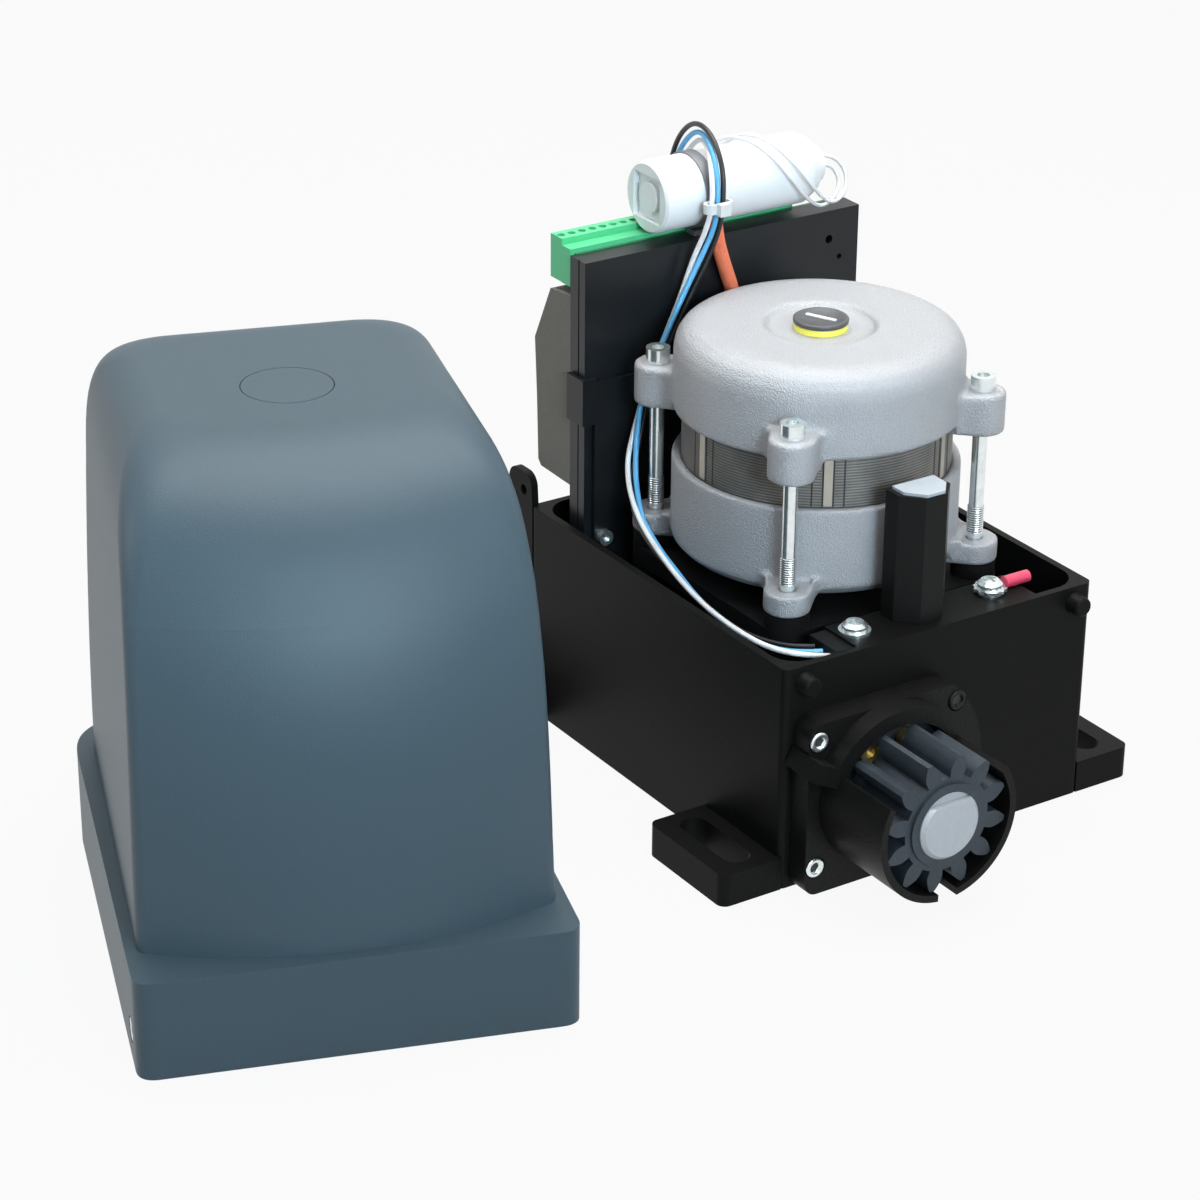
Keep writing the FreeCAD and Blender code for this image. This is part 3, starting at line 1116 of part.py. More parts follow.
cord("wire_blue", 2.2, [
    (-64.6, -5.5, 204.8), (-71.5, -5.5, 206), (-76.5, -6, 214), (-76.2, -6.5, 230),
    (-69.5, -6.8, 245), (-57, -7, 254), (-44, -8.5, 251.5), (-34, -10.5, 241.5),
    (-30.2, -11.6, 230.5), (-30.6, -12.6, 219), (-33.2, -17.5, 205), (-34.6, -24.5, 190),
    (-33.5, -31.5, 177), (-33, -39.5, 163), (-32, -46, 149), (-30, -51, 133),
    (-25, -54.5, 118), (-13, -58, 107), (3, -60.5, 101), (19, -62.5, 97.5), (36, -65.5, 95),
    (54, -68, 93.5), (72, -68, 92.5), (86, -64.5, 92), (95, -57, 91.5), (99, -48, 91.5)])
cord("wire_white", 2.2, [
    (-64.6, -10.5, 204.8), (-72, -10.5, 206), (-77.4, -10.6, 214.5), (-77, -10.6, 231),
    (-70.5, -10.4, 247), (-58, -10.4, 257), (-43.5, -11.4, 254.5), (-32.5, -13.2, 243.5),
    (-30.2, -14.2, 230.5), (-30.6, -15.4, 219), (-32.4, -21.5, 205), (-33, -28.8, 190),
    (-31.8, -36, 177), (-31.6, -43.4, 164), (-31.4, -50.4, 150), (-28, -54.8, 134),
    (-22, -58, 118.5), (-10, -61.2, 108), (6, -63.2, 102), (22, -65, 97.8), (39, -68, 96.6),
    (57, -70.6, 96.4), (75, -70.8, 95.8), (90, -68, 94.6), (100, -59, 93), (104, -48, 91.5)])
cord("wire_black", 2.2, [
    (-64.6, -0.5, 204.8), (-71, -0.5, 206), (-75.6, -1, 214), (-75.2, -2, 229),
    (-68.5, -3.2, 243), (-56, -4, 251.5), (-44.5, -5.4, 248.5), (-35, -7.6, 239.5),
    (-30.2, -9, 230.5), (-30.6, -10, 219), (-33.8, -13.5, 205), (-35.8, -20.5, 190),
    (-35.8, -28, 176), (-35.6, -36, 162), (-34.6, -42, 148), (-32.8, -46.6, 132),
    (-28.6, -53.6, 117), (-17, -59, 105.5), (0, -60.4, 98.4), (16, -60.8, 94), (33, -61.4, 91.2),
    (50, -62.6, 89.6), (66, -61.8, 89), (80, -58, 89.6), (89, -53.4, 90.6), (94, -48, 91.5)])
cord("motor_sleeve", 6, [
    (-31, -5.2, 225), (-31.6, -5.4, 212), (-34.8, -4, 199), (-36.1, -2, 185), (-36.1, -0.5, 171),
    (-35.6, 0, 160.5), (-34.2, 0, 150.6)])
cord("capacitor_lead_a", 1.6, [
    (-64.6, 4.5, 204.8), (-71.5, 4.5, 206.5), (-74, 5, 215), (-73, 6, 228), (-66.8, 8, 239.5),
    (-57.5, 11, 246.6), (-46, 15, 247), (-37, 20.5, 241), (-32.8, 28, 230.5),
    (-34.6, 37, 220.5), (-40.6, 48, 213.8), (-45, 58.5, 214.5), (-48.5, 63.5, 221),
    (-50.8, 59.5, 228), (-51, 51.5, 229.5)])
cord("capacitor_lead_b", 1.6, [
    (-64.6, 9.5, 204.8), (-71.3, 9.5, 206.5), (-73.6, 10, 215), (-72.2, 11.4, 228),
    (-65.8, 14, 239.6), (-56, 17.5, 247.2), (-44.6, 21.8, 246.8), (-35.8, 27.6, 240),
    (-32.6, 35.4, 229.5), (-35.2, 44.8, 219.8), (-41, 55, 214), (-45.6, 64.6, 216.2),
    (-49.8, 67.4, 224), (-51.6, 60.5, 231.6), (-51.6, 51.5, 232.9)])

node("sensor_connector", block("connector_body", (f"{FRONT} - 23", "-ledge_left - 8",
                                                  "base_height - ledge_thickness"),
                               18, 8, "ledge_thickness - 1"))


def make_cable_tie():
    """Nylon band round the three sensor wires, with its locking head."""
    band = Part.makeBox(6, 13, 4, Vector(-3, -6.5, 0))
    band = band.makeFillet(2.9, [e for e in band.Edges if upright(e)])
    way = Part.makeBox(3.4, 10.6, 6, Vector(-1.7, -5.3, -1))
    way = way.makeFillet(1.6, [e for e in way.Edges if upright(e)])
    return band.fuse(Part.makeBox(3.2, 5, 5, Vector(2.6, -2.5, -0.5))).cut(way)


node("cable_tie", shaped("tie_band", make_cable_tie(), (-30.2, -11.6, 226)))
node("lead_grommet", block("grommet_body", ("gear_x - stack_width / 2 - 9.3", -4,
                                            f"{STACK_START} + 8"), 9.2, 8, 9))


# --- case and plate screws ---------------------------------------------------------------

node("case_cover_screws", group("case_screw_set", [
    cap_screw("case_screw", "x", (f"{CHAMBER_X} - 5", *spot), 3, 14, 3, -1)
    for spot in CASE_SCREWS]))
node("mount_plate_screws", group("plate_screw_set", [
    cap_screw("box_screw", "x", (f"{PANEL_X} + 0.3 + plate_thickness", y, 91), 4, 4, 3)
    for y in (-61, 60)] + [
    cap_screw("foot_screw", "z", (f"{PANEL_X} + 10", y, "base_floor + plate_thickness"), 4, 5, 3)
    for y in (-25, 25)]))


# --- cover ---------------------------------------------------------------------------------

# height, half width at the front corners, corner setback, front setback at the middle,
# half width at the back, depth of the back
WALL_FORMS = [
    (40, 77.5, 22.5, 5.5, 73, 205), (110, 76, 28, 10.5, 72, 203), (140, 75, 33, 16, 71, 202),
    (162, 74, 39.5, 24, 70, 201)]
SHOULDER_FORMS = [
    WALL_FORMS[-1], (180, 72.6, 47.5, 34.5, 69, 200), (192, 70.6, 55.5, 44.5, 67.6, 198.5),
    (201, 67.2, 65, 56, 65, 196), (207, 62.4, 75.5, 68, 61, 192.5),
    (210.4, 56, 86, 80, 55.4, 187), (211.5, 48, 98, 93.5, 48, 180)]


def cover_outline(form, inset):
    """Plan of the cover's body at one height, as eight smooth runs."""
    level, half, corner_y, front_y, half_back, back_y = form
    half, half_back, back_y = half - inset, half_back - inset, back_y - inset
    corner_y, front_y = corner_y + inset, front_y + inset
    lift = max(0.0, (level - 150) / 61.5)
    level = level - inset * lift
    cut_in = 3.5 + 14 * lift ** 2 - 0.8 * inset
    round_in = 28 - 6 * lift - 0.8 * inset
    end = half - cut_in
    lean = 2 * (corner_y - front_y) / half

    def bezier(*poles):
        curve = Part.BezierCurve()
        curve.setPoles([Vector(x, y, level) for x, y in poles])
        return curve.toShape()

    sag_y = corner_y - lean * cut_in
    front_mid = sag_y - lean * end
    side = corner_y + cut_in * 1.2
    return Part.Wire([
        bezier((-end, sag_y), (0, front_mid), (end, sag_y)),
        bezier((end, sag_y), (half, corner_y), (half, side)),
        bezier((half, side), (half_back, back_y - round_in)),
        bezier((half_back, back_y - round_in), (half_back, back_y), (half_back - round_in, back_y)),
        bezier((half_back - round_in, back_y), (-half_back + round_in, back_y)),
        bezier((-half_back + round_in, back_y), (-half_back, back_y),
               (-half_back, back_y - round_in)),
        bezier((-half_back, back_y - round_in), (-half, side)),
        bezier((-half, side), (-half, corner_y), (-end, sag_y))])


def skirt_outline(inset, level):
    """Plan of the cover's skirt: straight front, tighter at the back with large corners."""
    half = size("cover_width") / 2 - inset
    tail = size("cover_tail") / 2 - inset
    back = size("cover_length") - inset
    small, large = 8 - inset * 0.8, 30 - inset
    corners = [(-half, inset, small), (half, inset, small), (tail, back, large),
               (-tail, back, large)]
    spots = [Vector(x, y, level) for x, y, _ in corners]
    edges = []
    joints = []
    for i, (_, _, radius) in enumerate(corners):
        here, before, after = spots[i], spots[i - 1], spots[(i + 1) % 4]
        first = here + (before - here).normalize() * radius
        last = here + (after - here).normalize() * radius
        joints.append((first, last))
        curve = Part.BezierCurve()
        curve.setPoles([first, here, last])
        edges.append(curve.toShape())
    outline = []
    for i in range(4):
        outline.append(edges[i])
        outline.append(Part.makeLine(joints[i][1], joints[(i + 1) % 4][0]))
    return Part.Wire(outline)


def cover_solid(inset, skirt_top, skirt_low):
    """The cover's drafted body with its rolled-over shoulder, and its skirt, drawn in by inset."""
    walls = Part.makeLoft([cover_outline(form, inset) for form in WALL_FORMS], True)
    shoulder = Part.makeLoft([cover_outline(form, inset) for form in SHOULDER_FORMS], True)
    body = walls.fuse(shoulder).removeSplitter()
    skirt = Part.Face(skirt_outline(inset, skirt_low)).extrude(Vector(0, 0, skirt_top - skirt_low))
    return body, skirt


def make_cover():
    """Moulded shell: bowed front on a straight skirt, side grooves, seat for the key plug."""
    wall = size("cover_wall")
    skirt_h = size("skirt_height")
    body, skirt = cover_solid(0, skirt_h, 0)
    inner_body, inner_skirt = cover_solid(wall, skirt_h - wall, -1)
    neck_plan = Part.Face(cover_outline(WALL_FORMS[0], wall))
    neck = neck_plan.extrude(Vector(0, 0, -wall - 1))
    plug_r = size("plug_width") / 2
    plug_y = size("plug_back")
    top = size("cover_height")
    outer = body.fuse(skirt)
    boss = Part.makeCylinder(plug_r + 3, 5.5, Vector(0, plug_y, top - 6))
    seat = Part.makeCylinder(plug_r, 4, Vector(0, plug_y, top - 2))
    hole = Part.makeCylinder(plug_r - 3, 12, Vector(0, plug_y, top - 9))
    bosses = [boss]
    tools = [seat, hole]
    for side in (-1, 1):
        wide = size("cover_width") / 2
        post = Part.makeBox(9, 12, skirt_h - wall, Vector(side * (wide - 6) - 4.5, 11, 0))
        bosses.append(post.common(skirt))
        tools.append(Part.makeCylinder(2.3, 16, Vector(side * (wide - 13), 17, 12),
                                       Vector(side, 0, 0)))
        tools.append(Part.makeCylinder(5, 4, Vector(side * (wide - 3.4), 17, 12),
                                       Vector(side, 0, 0)))
    shell = outer.cut(inner_body).cut(inner_skirt).cut(neck)
    return shell.fuse(bosses).cut(tools).removeSplitter()


COVER_TURN = ((0, 0, 1), size("cover_turn"))
node("cover_shell", shaped("cover_shape", make_cover(), ("cover_x", "cover_y", 0), COVER_TURN))


def make_plug():
    """Flush disc that closes the hole over the release knob, with a short skirt."""
    plug_r = size("plug_width") / 2
    top = size("cover_height")
    disc = Part.makeCylinder(plug_r - 0.4, 1.7, Vector(0, size("plug_back"), top - 1.7))
    stem = Part.makeCylinder(plug_r - 3.4, 6, Vector(0, size("plug_back"), top - 7.5))
    core = Part.makeCylinder(plug_r - 5, 6, Vector(0, size("plug_back"), top - 8))
    return disc.fuse(stem).cut(core)


node("release_plug", shaped("plug_shape", make_plug(), ("cover_x", "cover_y", 0), COVER_TURN))


def make_cover_screws():
    """Screws that stay in the skirt's two side bosses."""
    screws = []
    for side in (-1, 1):
        wide = size("cover_width") / 2
        shank = Part.makeCylinder(2.2, 17, Vector(side * (wide - 18), 17, 12), Vector(side, 0, 0))
        head = Part.makeCylinder(4.4, 3, Vector(side * (wide - 3.4), 17, 12), Vector(side, 0, 0))
        slot = Part.makeBox(3, 6, 1, Vector(side * (wide - 0.6) - 1.5, 14, 11.5))
        screws.append(shank.fuse(head).cut(slot))
    return Part.makeCompound(screws)


node("cover_screws", shaped("cover_screws_shape", make_cover_screws(), ("cover_x", "cover_y", 0),
                            COVER_TURN))


# --- write the parts ------------------------------------------------------------------------

doc.recompute()
faults = [item.Label for item in doc.Objects
          if "Invalid" in item.State or "Error" in item.State]
for item in nodes:
    if item.Shape.isNull() or not item.Shape.isValid() or item.Shape.Volume <= 0:
        faults.append(item.Label)
if faults:
    raise RuntimeError(f"these don't build: {faults}")
os.makedirs("parts", exist_ok=True)
for item in nodes:
    item.Shape.exportStep(f"parts/{item.Label}.step")
    box = item.Shape.BoundBox
    print(f"{item.Label}: {len(item.Shape.Solids)} solids, {item.Shape.Volume:.0f} mm3,"
          f" x {box.XMin:.1f} {box.XMax:.1f} y {box.YMin:.1f} {box.YMax:.1f}"
          f" z {box.ZMin:.1f} {box.ZMax:.1f}")
print(f"{len(nodes)} nodes")
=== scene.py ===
"""Look of the sliding gate motor: materials, cords, small details, studio and camera.

The CAD frame has +X along the pinion's shaft, +Y across and +Z up. Sizes and places are
in millimetres and MM turns them to metres, apart from the studio's, the camera's and the
depth of a bump, which are in metres.
"""
import json
import math

import bmesh
import bpy
from mathutils import Matrix, Vector


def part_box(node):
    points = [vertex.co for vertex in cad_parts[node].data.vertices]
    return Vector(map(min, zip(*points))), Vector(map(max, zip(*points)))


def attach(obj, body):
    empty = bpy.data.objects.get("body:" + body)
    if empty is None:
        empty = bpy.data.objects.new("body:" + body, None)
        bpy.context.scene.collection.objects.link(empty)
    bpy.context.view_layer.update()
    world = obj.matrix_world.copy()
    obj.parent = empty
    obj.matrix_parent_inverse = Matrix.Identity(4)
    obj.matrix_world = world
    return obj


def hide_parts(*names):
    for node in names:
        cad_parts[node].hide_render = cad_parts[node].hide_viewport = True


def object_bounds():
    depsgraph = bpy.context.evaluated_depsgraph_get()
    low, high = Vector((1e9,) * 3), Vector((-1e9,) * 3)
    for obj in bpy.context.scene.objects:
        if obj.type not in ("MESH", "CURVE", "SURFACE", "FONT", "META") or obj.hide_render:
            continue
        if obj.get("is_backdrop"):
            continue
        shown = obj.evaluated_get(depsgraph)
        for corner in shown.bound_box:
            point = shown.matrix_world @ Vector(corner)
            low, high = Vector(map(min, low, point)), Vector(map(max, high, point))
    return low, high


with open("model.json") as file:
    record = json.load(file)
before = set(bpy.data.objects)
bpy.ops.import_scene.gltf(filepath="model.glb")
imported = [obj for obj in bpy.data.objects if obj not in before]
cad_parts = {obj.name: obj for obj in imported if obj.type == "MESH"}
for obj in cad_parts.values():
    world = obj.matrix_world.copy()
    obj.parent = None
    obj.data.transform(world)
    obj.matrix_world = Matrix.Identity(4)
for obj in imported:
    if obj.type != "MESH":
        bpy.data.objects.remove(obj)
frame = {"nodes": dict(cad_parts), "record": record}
nodes = frame["nodes"]
MM = 0.001


def write_size(label, sizes):
    sizes[label] = [[round(c, 5) for c in corner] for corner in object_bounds()]


SIZES = {}
write_size("cad", SIZES)


# --- materials ------------------------------------------------------------------------

# Sockets of a Mix node that mixes colours.
FACTOR, COLOR_A, COLOR_B = 0, 6, 7
MIXED_COLOR = 2


def shade_between(tree, factor, color, low, high):
    """A colour that a texture's factor takes from low to high times the one given."""
    mix = tree.nodes.new("ShaderNodeMix")
    mix.data_type = "RGBA"
    mix.inputs[COLOR_A].default_value = (*[c * low for c in color], 1)
    mix.inputs[COLOR_B].default_value = (*[min(1, c * high) for c in color], 1)
    tree.links.new(factor, mix.inputs[FACTOR])
    return mix.outputs[MIXED_COLOR]


def raise_surface(tree, height, strength, depth):
    """Lets a texture raise the surface by up to the depth, as bump in the shading."""
    bump = tree.nodes.new("ShaderNodeBump")
    bump.inputs["Strength"].default_value = strength
    bump.inputs["Distance"].default_value = depth
    tree.links.new(height, bump.inputs["Height"])
    tree.links.new(bump.outputs["Normal"], tree.nodes["Principled BSDF"].inputs["Normal"])


def noise_factor(tree, place, scale, detail):
    """A noise texture's output from 0 to 1."""
    noise = tree.nodes.new("ShaderNodeTexNoise")
    noise.inputs["Scale"].default_value = scale
    noise.inputs["Detail"].default_value = detail
    tree.links.new(place.outputs["Object"], noise.inputs["Vector"])
    return noise.outputs["Fac"]


def material(name, color, rough, metallic=0.0, **extra):
    """A Principled material, with the noise that the words in extra ask for.

    bump, bump_scale and depth roughen it; mottle and mottle_scale vary its colour;
    coat and specular set those inputs.
    """
    mat = bpy.data.materials.new(name)
    mat.use_nodes = True
    tree = mat.node_tree
    shader = tree.nodes["Principled BSDF"]
    shader.inputs["Base Color"].default_value = (*color, 1)
    shader.inputs["Roughness"].default_value = rough
    shader.inputs["Metallic"].default_value = metallic
    shader.inputs["Specular IOR Level"].default_value = extra.get("specular", 0.5)
    shader.inputs["Coat Weight"].default_value = extra.get("coat", 0.0)
    place = tree.nodes.new("ShaderNodeTexCoord")
    if "bump" in extra:
        grain = noise_factor(tree, place, extra.get("bump_scale", 900), detail=6)
        raise_surface(tree, grain, extra["bump"], extra.get("depth", 0.0004))
    if "mottle" in extra:
        blotch = noise_factor(tree, place, extra.get("mottle_scale", 60), detail=8)
        mottled = shade_between(tree, blotch, color, 1 - extra["mottle"], 1 + extra["mottle"])
        tree.links.new(mottled, shader.inputs["Base Color"])
    return mat


def laminated(name, color):
    """Stacked sheet edges: fine dark lines across the height."""
    mat = material(name, color, 0.55, 0.5)
    tree = mat.node_tree
    place = tree.nodes["Texture Coordinate"]
    sheets = tree.nodes.new("ShaderNodeTexWave")
    sheets.bands_direction = "Z"
    sheets.inputs["Scale"].default_value = 260
    sheets.inputs["Distortion"].default_value = 0.6
    sheets.inputs["Detail"].default_value = 3
    tree.links.new(place.outputs["Object"], sheets.inputs["Vector"])
    stain = noise_factor(tree, place, scale=90, detail=2)
    stained = shade_between(tree, stain, color, low=0.55, high=1.35)
    mix = tree.nodes.new("ShaderNodeMix")
    mix.data_type = "RGBA"
    mix.blend_type = "MULTIPLY"
    mix.inputs[FACTOR].default_value = 0.55
    tree.links.new(stained, mix.inputs[COLOR_A])
    tree.links.new(sheets.outputs["Color"], mix.inputs[COLOR_B])
    shader = tree.nodes["Principled BSDF"]
    tree.links.new(mix.outputs[MIXED_COLOR], shader.inputs["Base Color"])
    raise_surface(tree, sheets.outputs["Fac"], strength=0.5, depth=0.0003)
    return mat


def woven(name, color, threads):
    """Braided glass sleeve: two crossing sets of fine ridges."""
    mat = material(name, color, 0.75, mottle=0.18, mottle_scale=260)
    tree = mat.node_tree
    place = tree.nodes["Texture Coordinate"]
    crossed = tree.nodes.new("ShaderNodeMath")
    crossed.operation = "MAXIMUM"
    lean = math.radians(38)
    for i, turn in enumerate((lean, -lean)):
        turned_place = tree.nodes.new("ShaderNodeMapping")
        turned_place.inputs["Rotation"].default_value = (turn, 0, turn)
        ridges = tree.nodes.new("ShaderNodeTexWave")
        ridges.bands_direction = "Z"
        ridges.inputs["Scale"].default_value = threads
        tree.links.new(place.outputs["Object"], turned_place.inputs["Vector"])
        tree.links.new(turned_place.outputs["Vector"], ridges.inputs["Vector"])
        tree.links.new(ridges.outputs["Fac"], crossed.inputs[i])
    raise_surface(tree, crossed.outputs[0], strength=0.6, depth=0.0004)
    return mat


MATERIALS = {
    "base_plastic": material("base_plastic", (0.0058, 0.0060, 0.0052), 0.46, bump=0.35,
                             bump_scale=1300, depth=0.0002, specular=0.07, mottle=0.25,
                             mottle_scale=14),
    "case_black": material("case_black", (0.006, 0.006, 0.006), 0.6, bump=0.5, bump_scale=700,
                           specular=0.1, mottle=0.2, mottle_scale=40),
    "cast_aluminium": material("cast_aluminium", (0.30, 0.31, 0.32), 0.5, 0.75, bump=0.5,
                               bump_scale=700, mottle=0.15, mottle_scale=90),
    "bearing_steel": material("bearing_steel", (0.55, 0.55, 0.56), 0.25, 1.0, mottle=0.06),
    "black_rubber": material("black_rubber", (0.010, 0.010, 0.010), 0.7, bump=0.3,
                             bump_scale=1500, specular=0.25),
    "dark_steel": material("dark_steel", (0.045, 0.052, 0.060), 0.5, 0.4, mottle=0.3,
                           mottle_scale=120, bump=0.3),
    "yellow_zinc": material("yellow_zinc", (0.72, 0.56, 0.24), 0.3, 0.9, mottle=0.3,
                            mottle_scale=300),
    "shaft_steel": material("shaft_steel", (0.44, 0.455, 0.475), 0.5, 0.25, bump=0.35,
                            bump_scale=900, mottle=0.08, mottle_scale=350),
    "pinion_steel": material("pinion_steel", (0.036, 0.046, 0.056), 0.48, 0.25, bump=0.5,
                             bump_scale=700, mottle=0.3, mottle_scale=120, specular=0.4),
    "bronze": material("bronze", (0.55, 0.36, 0.15), 0.35, 0.9, mottle=0.15, mottle_scale=200),
    "laminations": laminated("laminations", (0.24, 0.228, 0.205)),
    "copper_winding": material("copper_winding", (0.42, 0.16, 0.06), 0.4, 0.6, bump=0.8,
                               bump_scale=500),
    "bell_aluminium": material("bell_aluminium", (0.415, 0.42, 0.43), 0.47, 0.35, bump=1.0,
                               bump_scale=1500, depth=0.0006, mottle=0.16, mottle_scale=1100),
    "zinc_steel": material("zinc_steel", (0.80, 0.85, 0.84), 0.22, 0.9, mottle=0.14,
                           mottle_scale=250),
    "yellow_plastic": material("yellow_plastic", (0.95, 0.86, 0.12), 0.4, mottle=0.05,
                               mottle_scale=200),
    "guard_metal": material("guard_metal", (0.0056, 0.0054, 0.0050), 0.45, bump=0.5,
                            bump_scale=800, specular=0.14, mottle=0.35, mottle_scale=60),
    "black_plastic": material("black_plastic", (0.0062, 0.0066, 0.0062), 0.45, bump=0.2,
                              bump_scale=1500, specular=0.14, mottle=0.1, mottle_scale=60),
    "potting": material("potting", (0.42, 0.46, 0.49), 0.5, bump=0.6, bump_scale=260,
                        mottle=0.1, mottle_scale=150),
    "red_sleeve": material("red_sleeve", (0.72, 0.055, 0.12), 0.3, coat=0.2, mottle=0.1,
                           mottle_scale=200),
    "lid_plastic": material("lid_plastic", (0.0078, 0.0092, 0.0105), 0.30, bump=0.12,
                            bump_scale=300, depth=0.0003, specular=0.3, mottle=0.3,
                            mottle_scale=30),
    "housing_plastic": material("housing_plastic", (0.175, 0.166, 0.142), 0.75, bump=0.4,
                                bump_scale=1300, specular=0.25, mottle=0.12, mottle_scale=500),
    "board_green": material("board_green", (0.03, 0.16, 0.07), 0.35, mottle=0.15),
    "terminal_green": material("terminal_green", (0.085, 0.52, 0.23), 0.42, mottle=0.06,
                               mottle_scale=150, bump=0.1),
    "transformer_grey": material("transformer_grey", (0.16, 0.16, 0.16), 0.5, 0.5, mottle=0.1),
    "relay_black": material("relay_black", (0.015, 0.015, 0.015), 0.3, mottle=0.1),
    "plate_metal": material("plate_metal", (0.0075, 0.0085, 0.0095), 0.34, specular=0.25,
                            mottle=0.2, mottle_scale=50, bump=0.2),
    "strap_metal": material("strap_metal", (0.22, 0.225, 0.23), 0.45, 0.5, mottle=0.15),
    "white_plastic": material("white_plastic", (0.80, 0.81, 0.81), 0.34, mottle=0.02,
                              mottle_scale=60),
    "tie_nylon": material("tie_nylon", (0.70, 0.72, 0.70), 0.35, mottle=0.05),
    "wire_blue_pvc": material("wire_blue_pvc", (0.11, 0.42, 0.72), 0.35, mottle=0.06),
    "wire_white_pvc": material("wire_white_pvc", (0.76, 0.76, 0.75), 0.4, mottle=0.04),
    "wire_black_pvc": material("wire_black_pvc", (0.012, 0.012, 0.013), 0.35, mottle=0.1),
    "orange_sleeve": woven("orange_sleeve", (0.95, 0.21, 0.10), threads=420),
    "dial_grey": material("dial_grey", (0.075, 0.075, 0.078), 0.45, bump=0.2, mottle=0.08),
    "dial_mark": material("dial_mark", (0.72, 0.73, 0.73), 0.5, mottle=0.03),
    # Painted shade: the near-black in the stator's notches, beside its cleats and in screw
    # sockets.
    "painted_groove_shade": material("painted_groove_shade", (0.02, 0.02, 0.018), 0.6, mottle=0.2),
    # Painted shade: the dark grey in the bolts' thread valleys.
    "painted_thread_shade": material("painted_thread_shade", (0.10, 0.105, 0.105), 0.5, 0.4, mottle=0.2),
    "screw_black": material("screw_black", (0.006, 0.006, 0.006), 0.45, specular=0.2,
                            mottle=0.2),
    "cleat_steel": material("cleat_steel", (0.42, 0.39, 0.33), 0.4, 0.6, mottle=0.15,
                            mottle_scale=200),
    "cover_plastic": material("cover_plastic", (0.043, 0.070, 0.087), 0.44, bump=0.45,
                              bump_scale=2000, depth=0.00025, specular=0.3, mottle=0.05,
                              mottle_scale=900),
}


def dress_nodes():
    """Each CAD node takes its slot's material, or one nearer to what the photo shows."""
    for subpart in frame["record"]["subparts"]:
        piece = nodes[subpart["node"]]
        piece.data.materials.clear()
        piece.data.materials.append(MATERIALS[subpart["material_slot"]])
    nearer = {"capacitor_strap": "strap_metal", "cable_tie": "tie_nylon",
              "gear_case": "case_black", "gear_case_cover": "case_black"}
    for name, material_name in nearer.items():
        nodes[name].data.materials[0] = MATERIALS[material_name]


dress_nodes()


# --- edges ----------------------------------------------------------------------------

EDGE_WIDTHS = {
    "base_housing": 0.8, "pinion_guard": 0.8, "pinion": 0.4, "sensor_tower": 0.6,
    "control_box_lid": 0.8, "control_box_housing": 1.0, "mount_plate": 0.3,
    "cover_shell": 1.2, "terminal_plugs": 0.3, "shaft_flange": 0.5, "motor_bolts": 0.3,
    "capacitor": 0.4, "gear_case": 0.6}


def soften(name, width):
    """Rounds a CAD node's sharp edges a little, so that they catch the light."""
    bevel = nodes[name].modifiers.new("soft_edges", "BEVEL")
    bevel.width = width * MM
    bevel.segments = 2
    bevel.limit_method = "ANGLE"
    bevel.angle_limit = math.radians(35)
    bevel.use_clamp_overlap = True


for name, width in EDGE_WIDTHS.items():
    soften(name, width)


# --- cords ----------------------------------------------------------------------------

SENSOR_WIRE = 2.2
CAPACITOR_LEAD = 1.6
SLEEVE = 6


def curve_through(name, points, width):
    """A round cord: a smooth spline with the route's points as its control points."""
    curve = bpy.data.curves.new(name, "CURVE")
    curve.dimensions = "3D"
    curve.bevel_depth = width / 2 * MM
    curve.bevel_resolution = 5
    curve.resolution_u = 16
    curve.use_fill_caps = True
    spline = curve.splines.new("NURBS")
    spline.points.add(len(points) - 1)
    for point, place in zip(spline.points, points):
        point.co = (*[c * MM for c in place], 1)
    spline.order_u = 3
    spline.use_endpoint_u = True
    obj = bpy.data.objects.new(name, curve)
    bpy.context.scene.collection.objects.link(obj)
    return obj


def curve_length(obj):
    """Length in metres of a cord's middle line, as its spline is drawn."""
    line = obj.data.copy()
    line.bevel_depth = 0
    holder = bpy.data.objects.new("measure", line)
    bpy.context.scene.collection.objects.link(holder)
    bpy.context.view_layer.update()
    mesh = bpy.data.meshes.new_from_object(holder)
    spots = [v.co for v in mesh.vertices]
    bpy.data.objects.remove(holder)
    return sum((b - a).length for a, b in zip(spots, spots[1:]))


def lay_cord(node, width, material_name, points):
    """The looks of one CAD cord node, drawn at its thickness; its length is measured and not
    kept.
    """
    obj = curve_through(f"{node}_cord", points, width)
    obj.data.materials.append(MATERIALS[material_name])
    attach(obj, "chassis")
    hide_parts(node)
    curve_length(obj)


lay_cord("wire_blue", SENSOR_WIRE, "wire_blue_pvc", [
    (-64.6, -5.5, 204.8), (-72.2, -5.4, 205.5), (-77.4, -4.6, 214.2), (-75.6, -3.6, 229.8),
    (-68, -3, 243.6), (-56.2, -4.2, 252.3), (-43.9, -6.8, 250.9), (-33.6, -10, 242),
    (-30.2, -11.6, 230.5), (-30.6, -12.8, 219), (-32.2, -19.2, 205), (-32.6, -27.4, 190),
    (-31.6, -35, 177), (-31.4, -42, 164), (-31, -47.5, 150), (-28.8, -50.8, 135),
    (-26.2, -52.8, 126), (-22.2, -55, 117.5), (-13, -58, 107), (3, -60.5, 101),
    (19, -62.5, 97.5), (36, -65.5, 95), (54, -68, 93.5), (72, -68, 92.5), (86, -64.5, 92),
    (95, -57, 91.5), (99, -48, 91.5)])
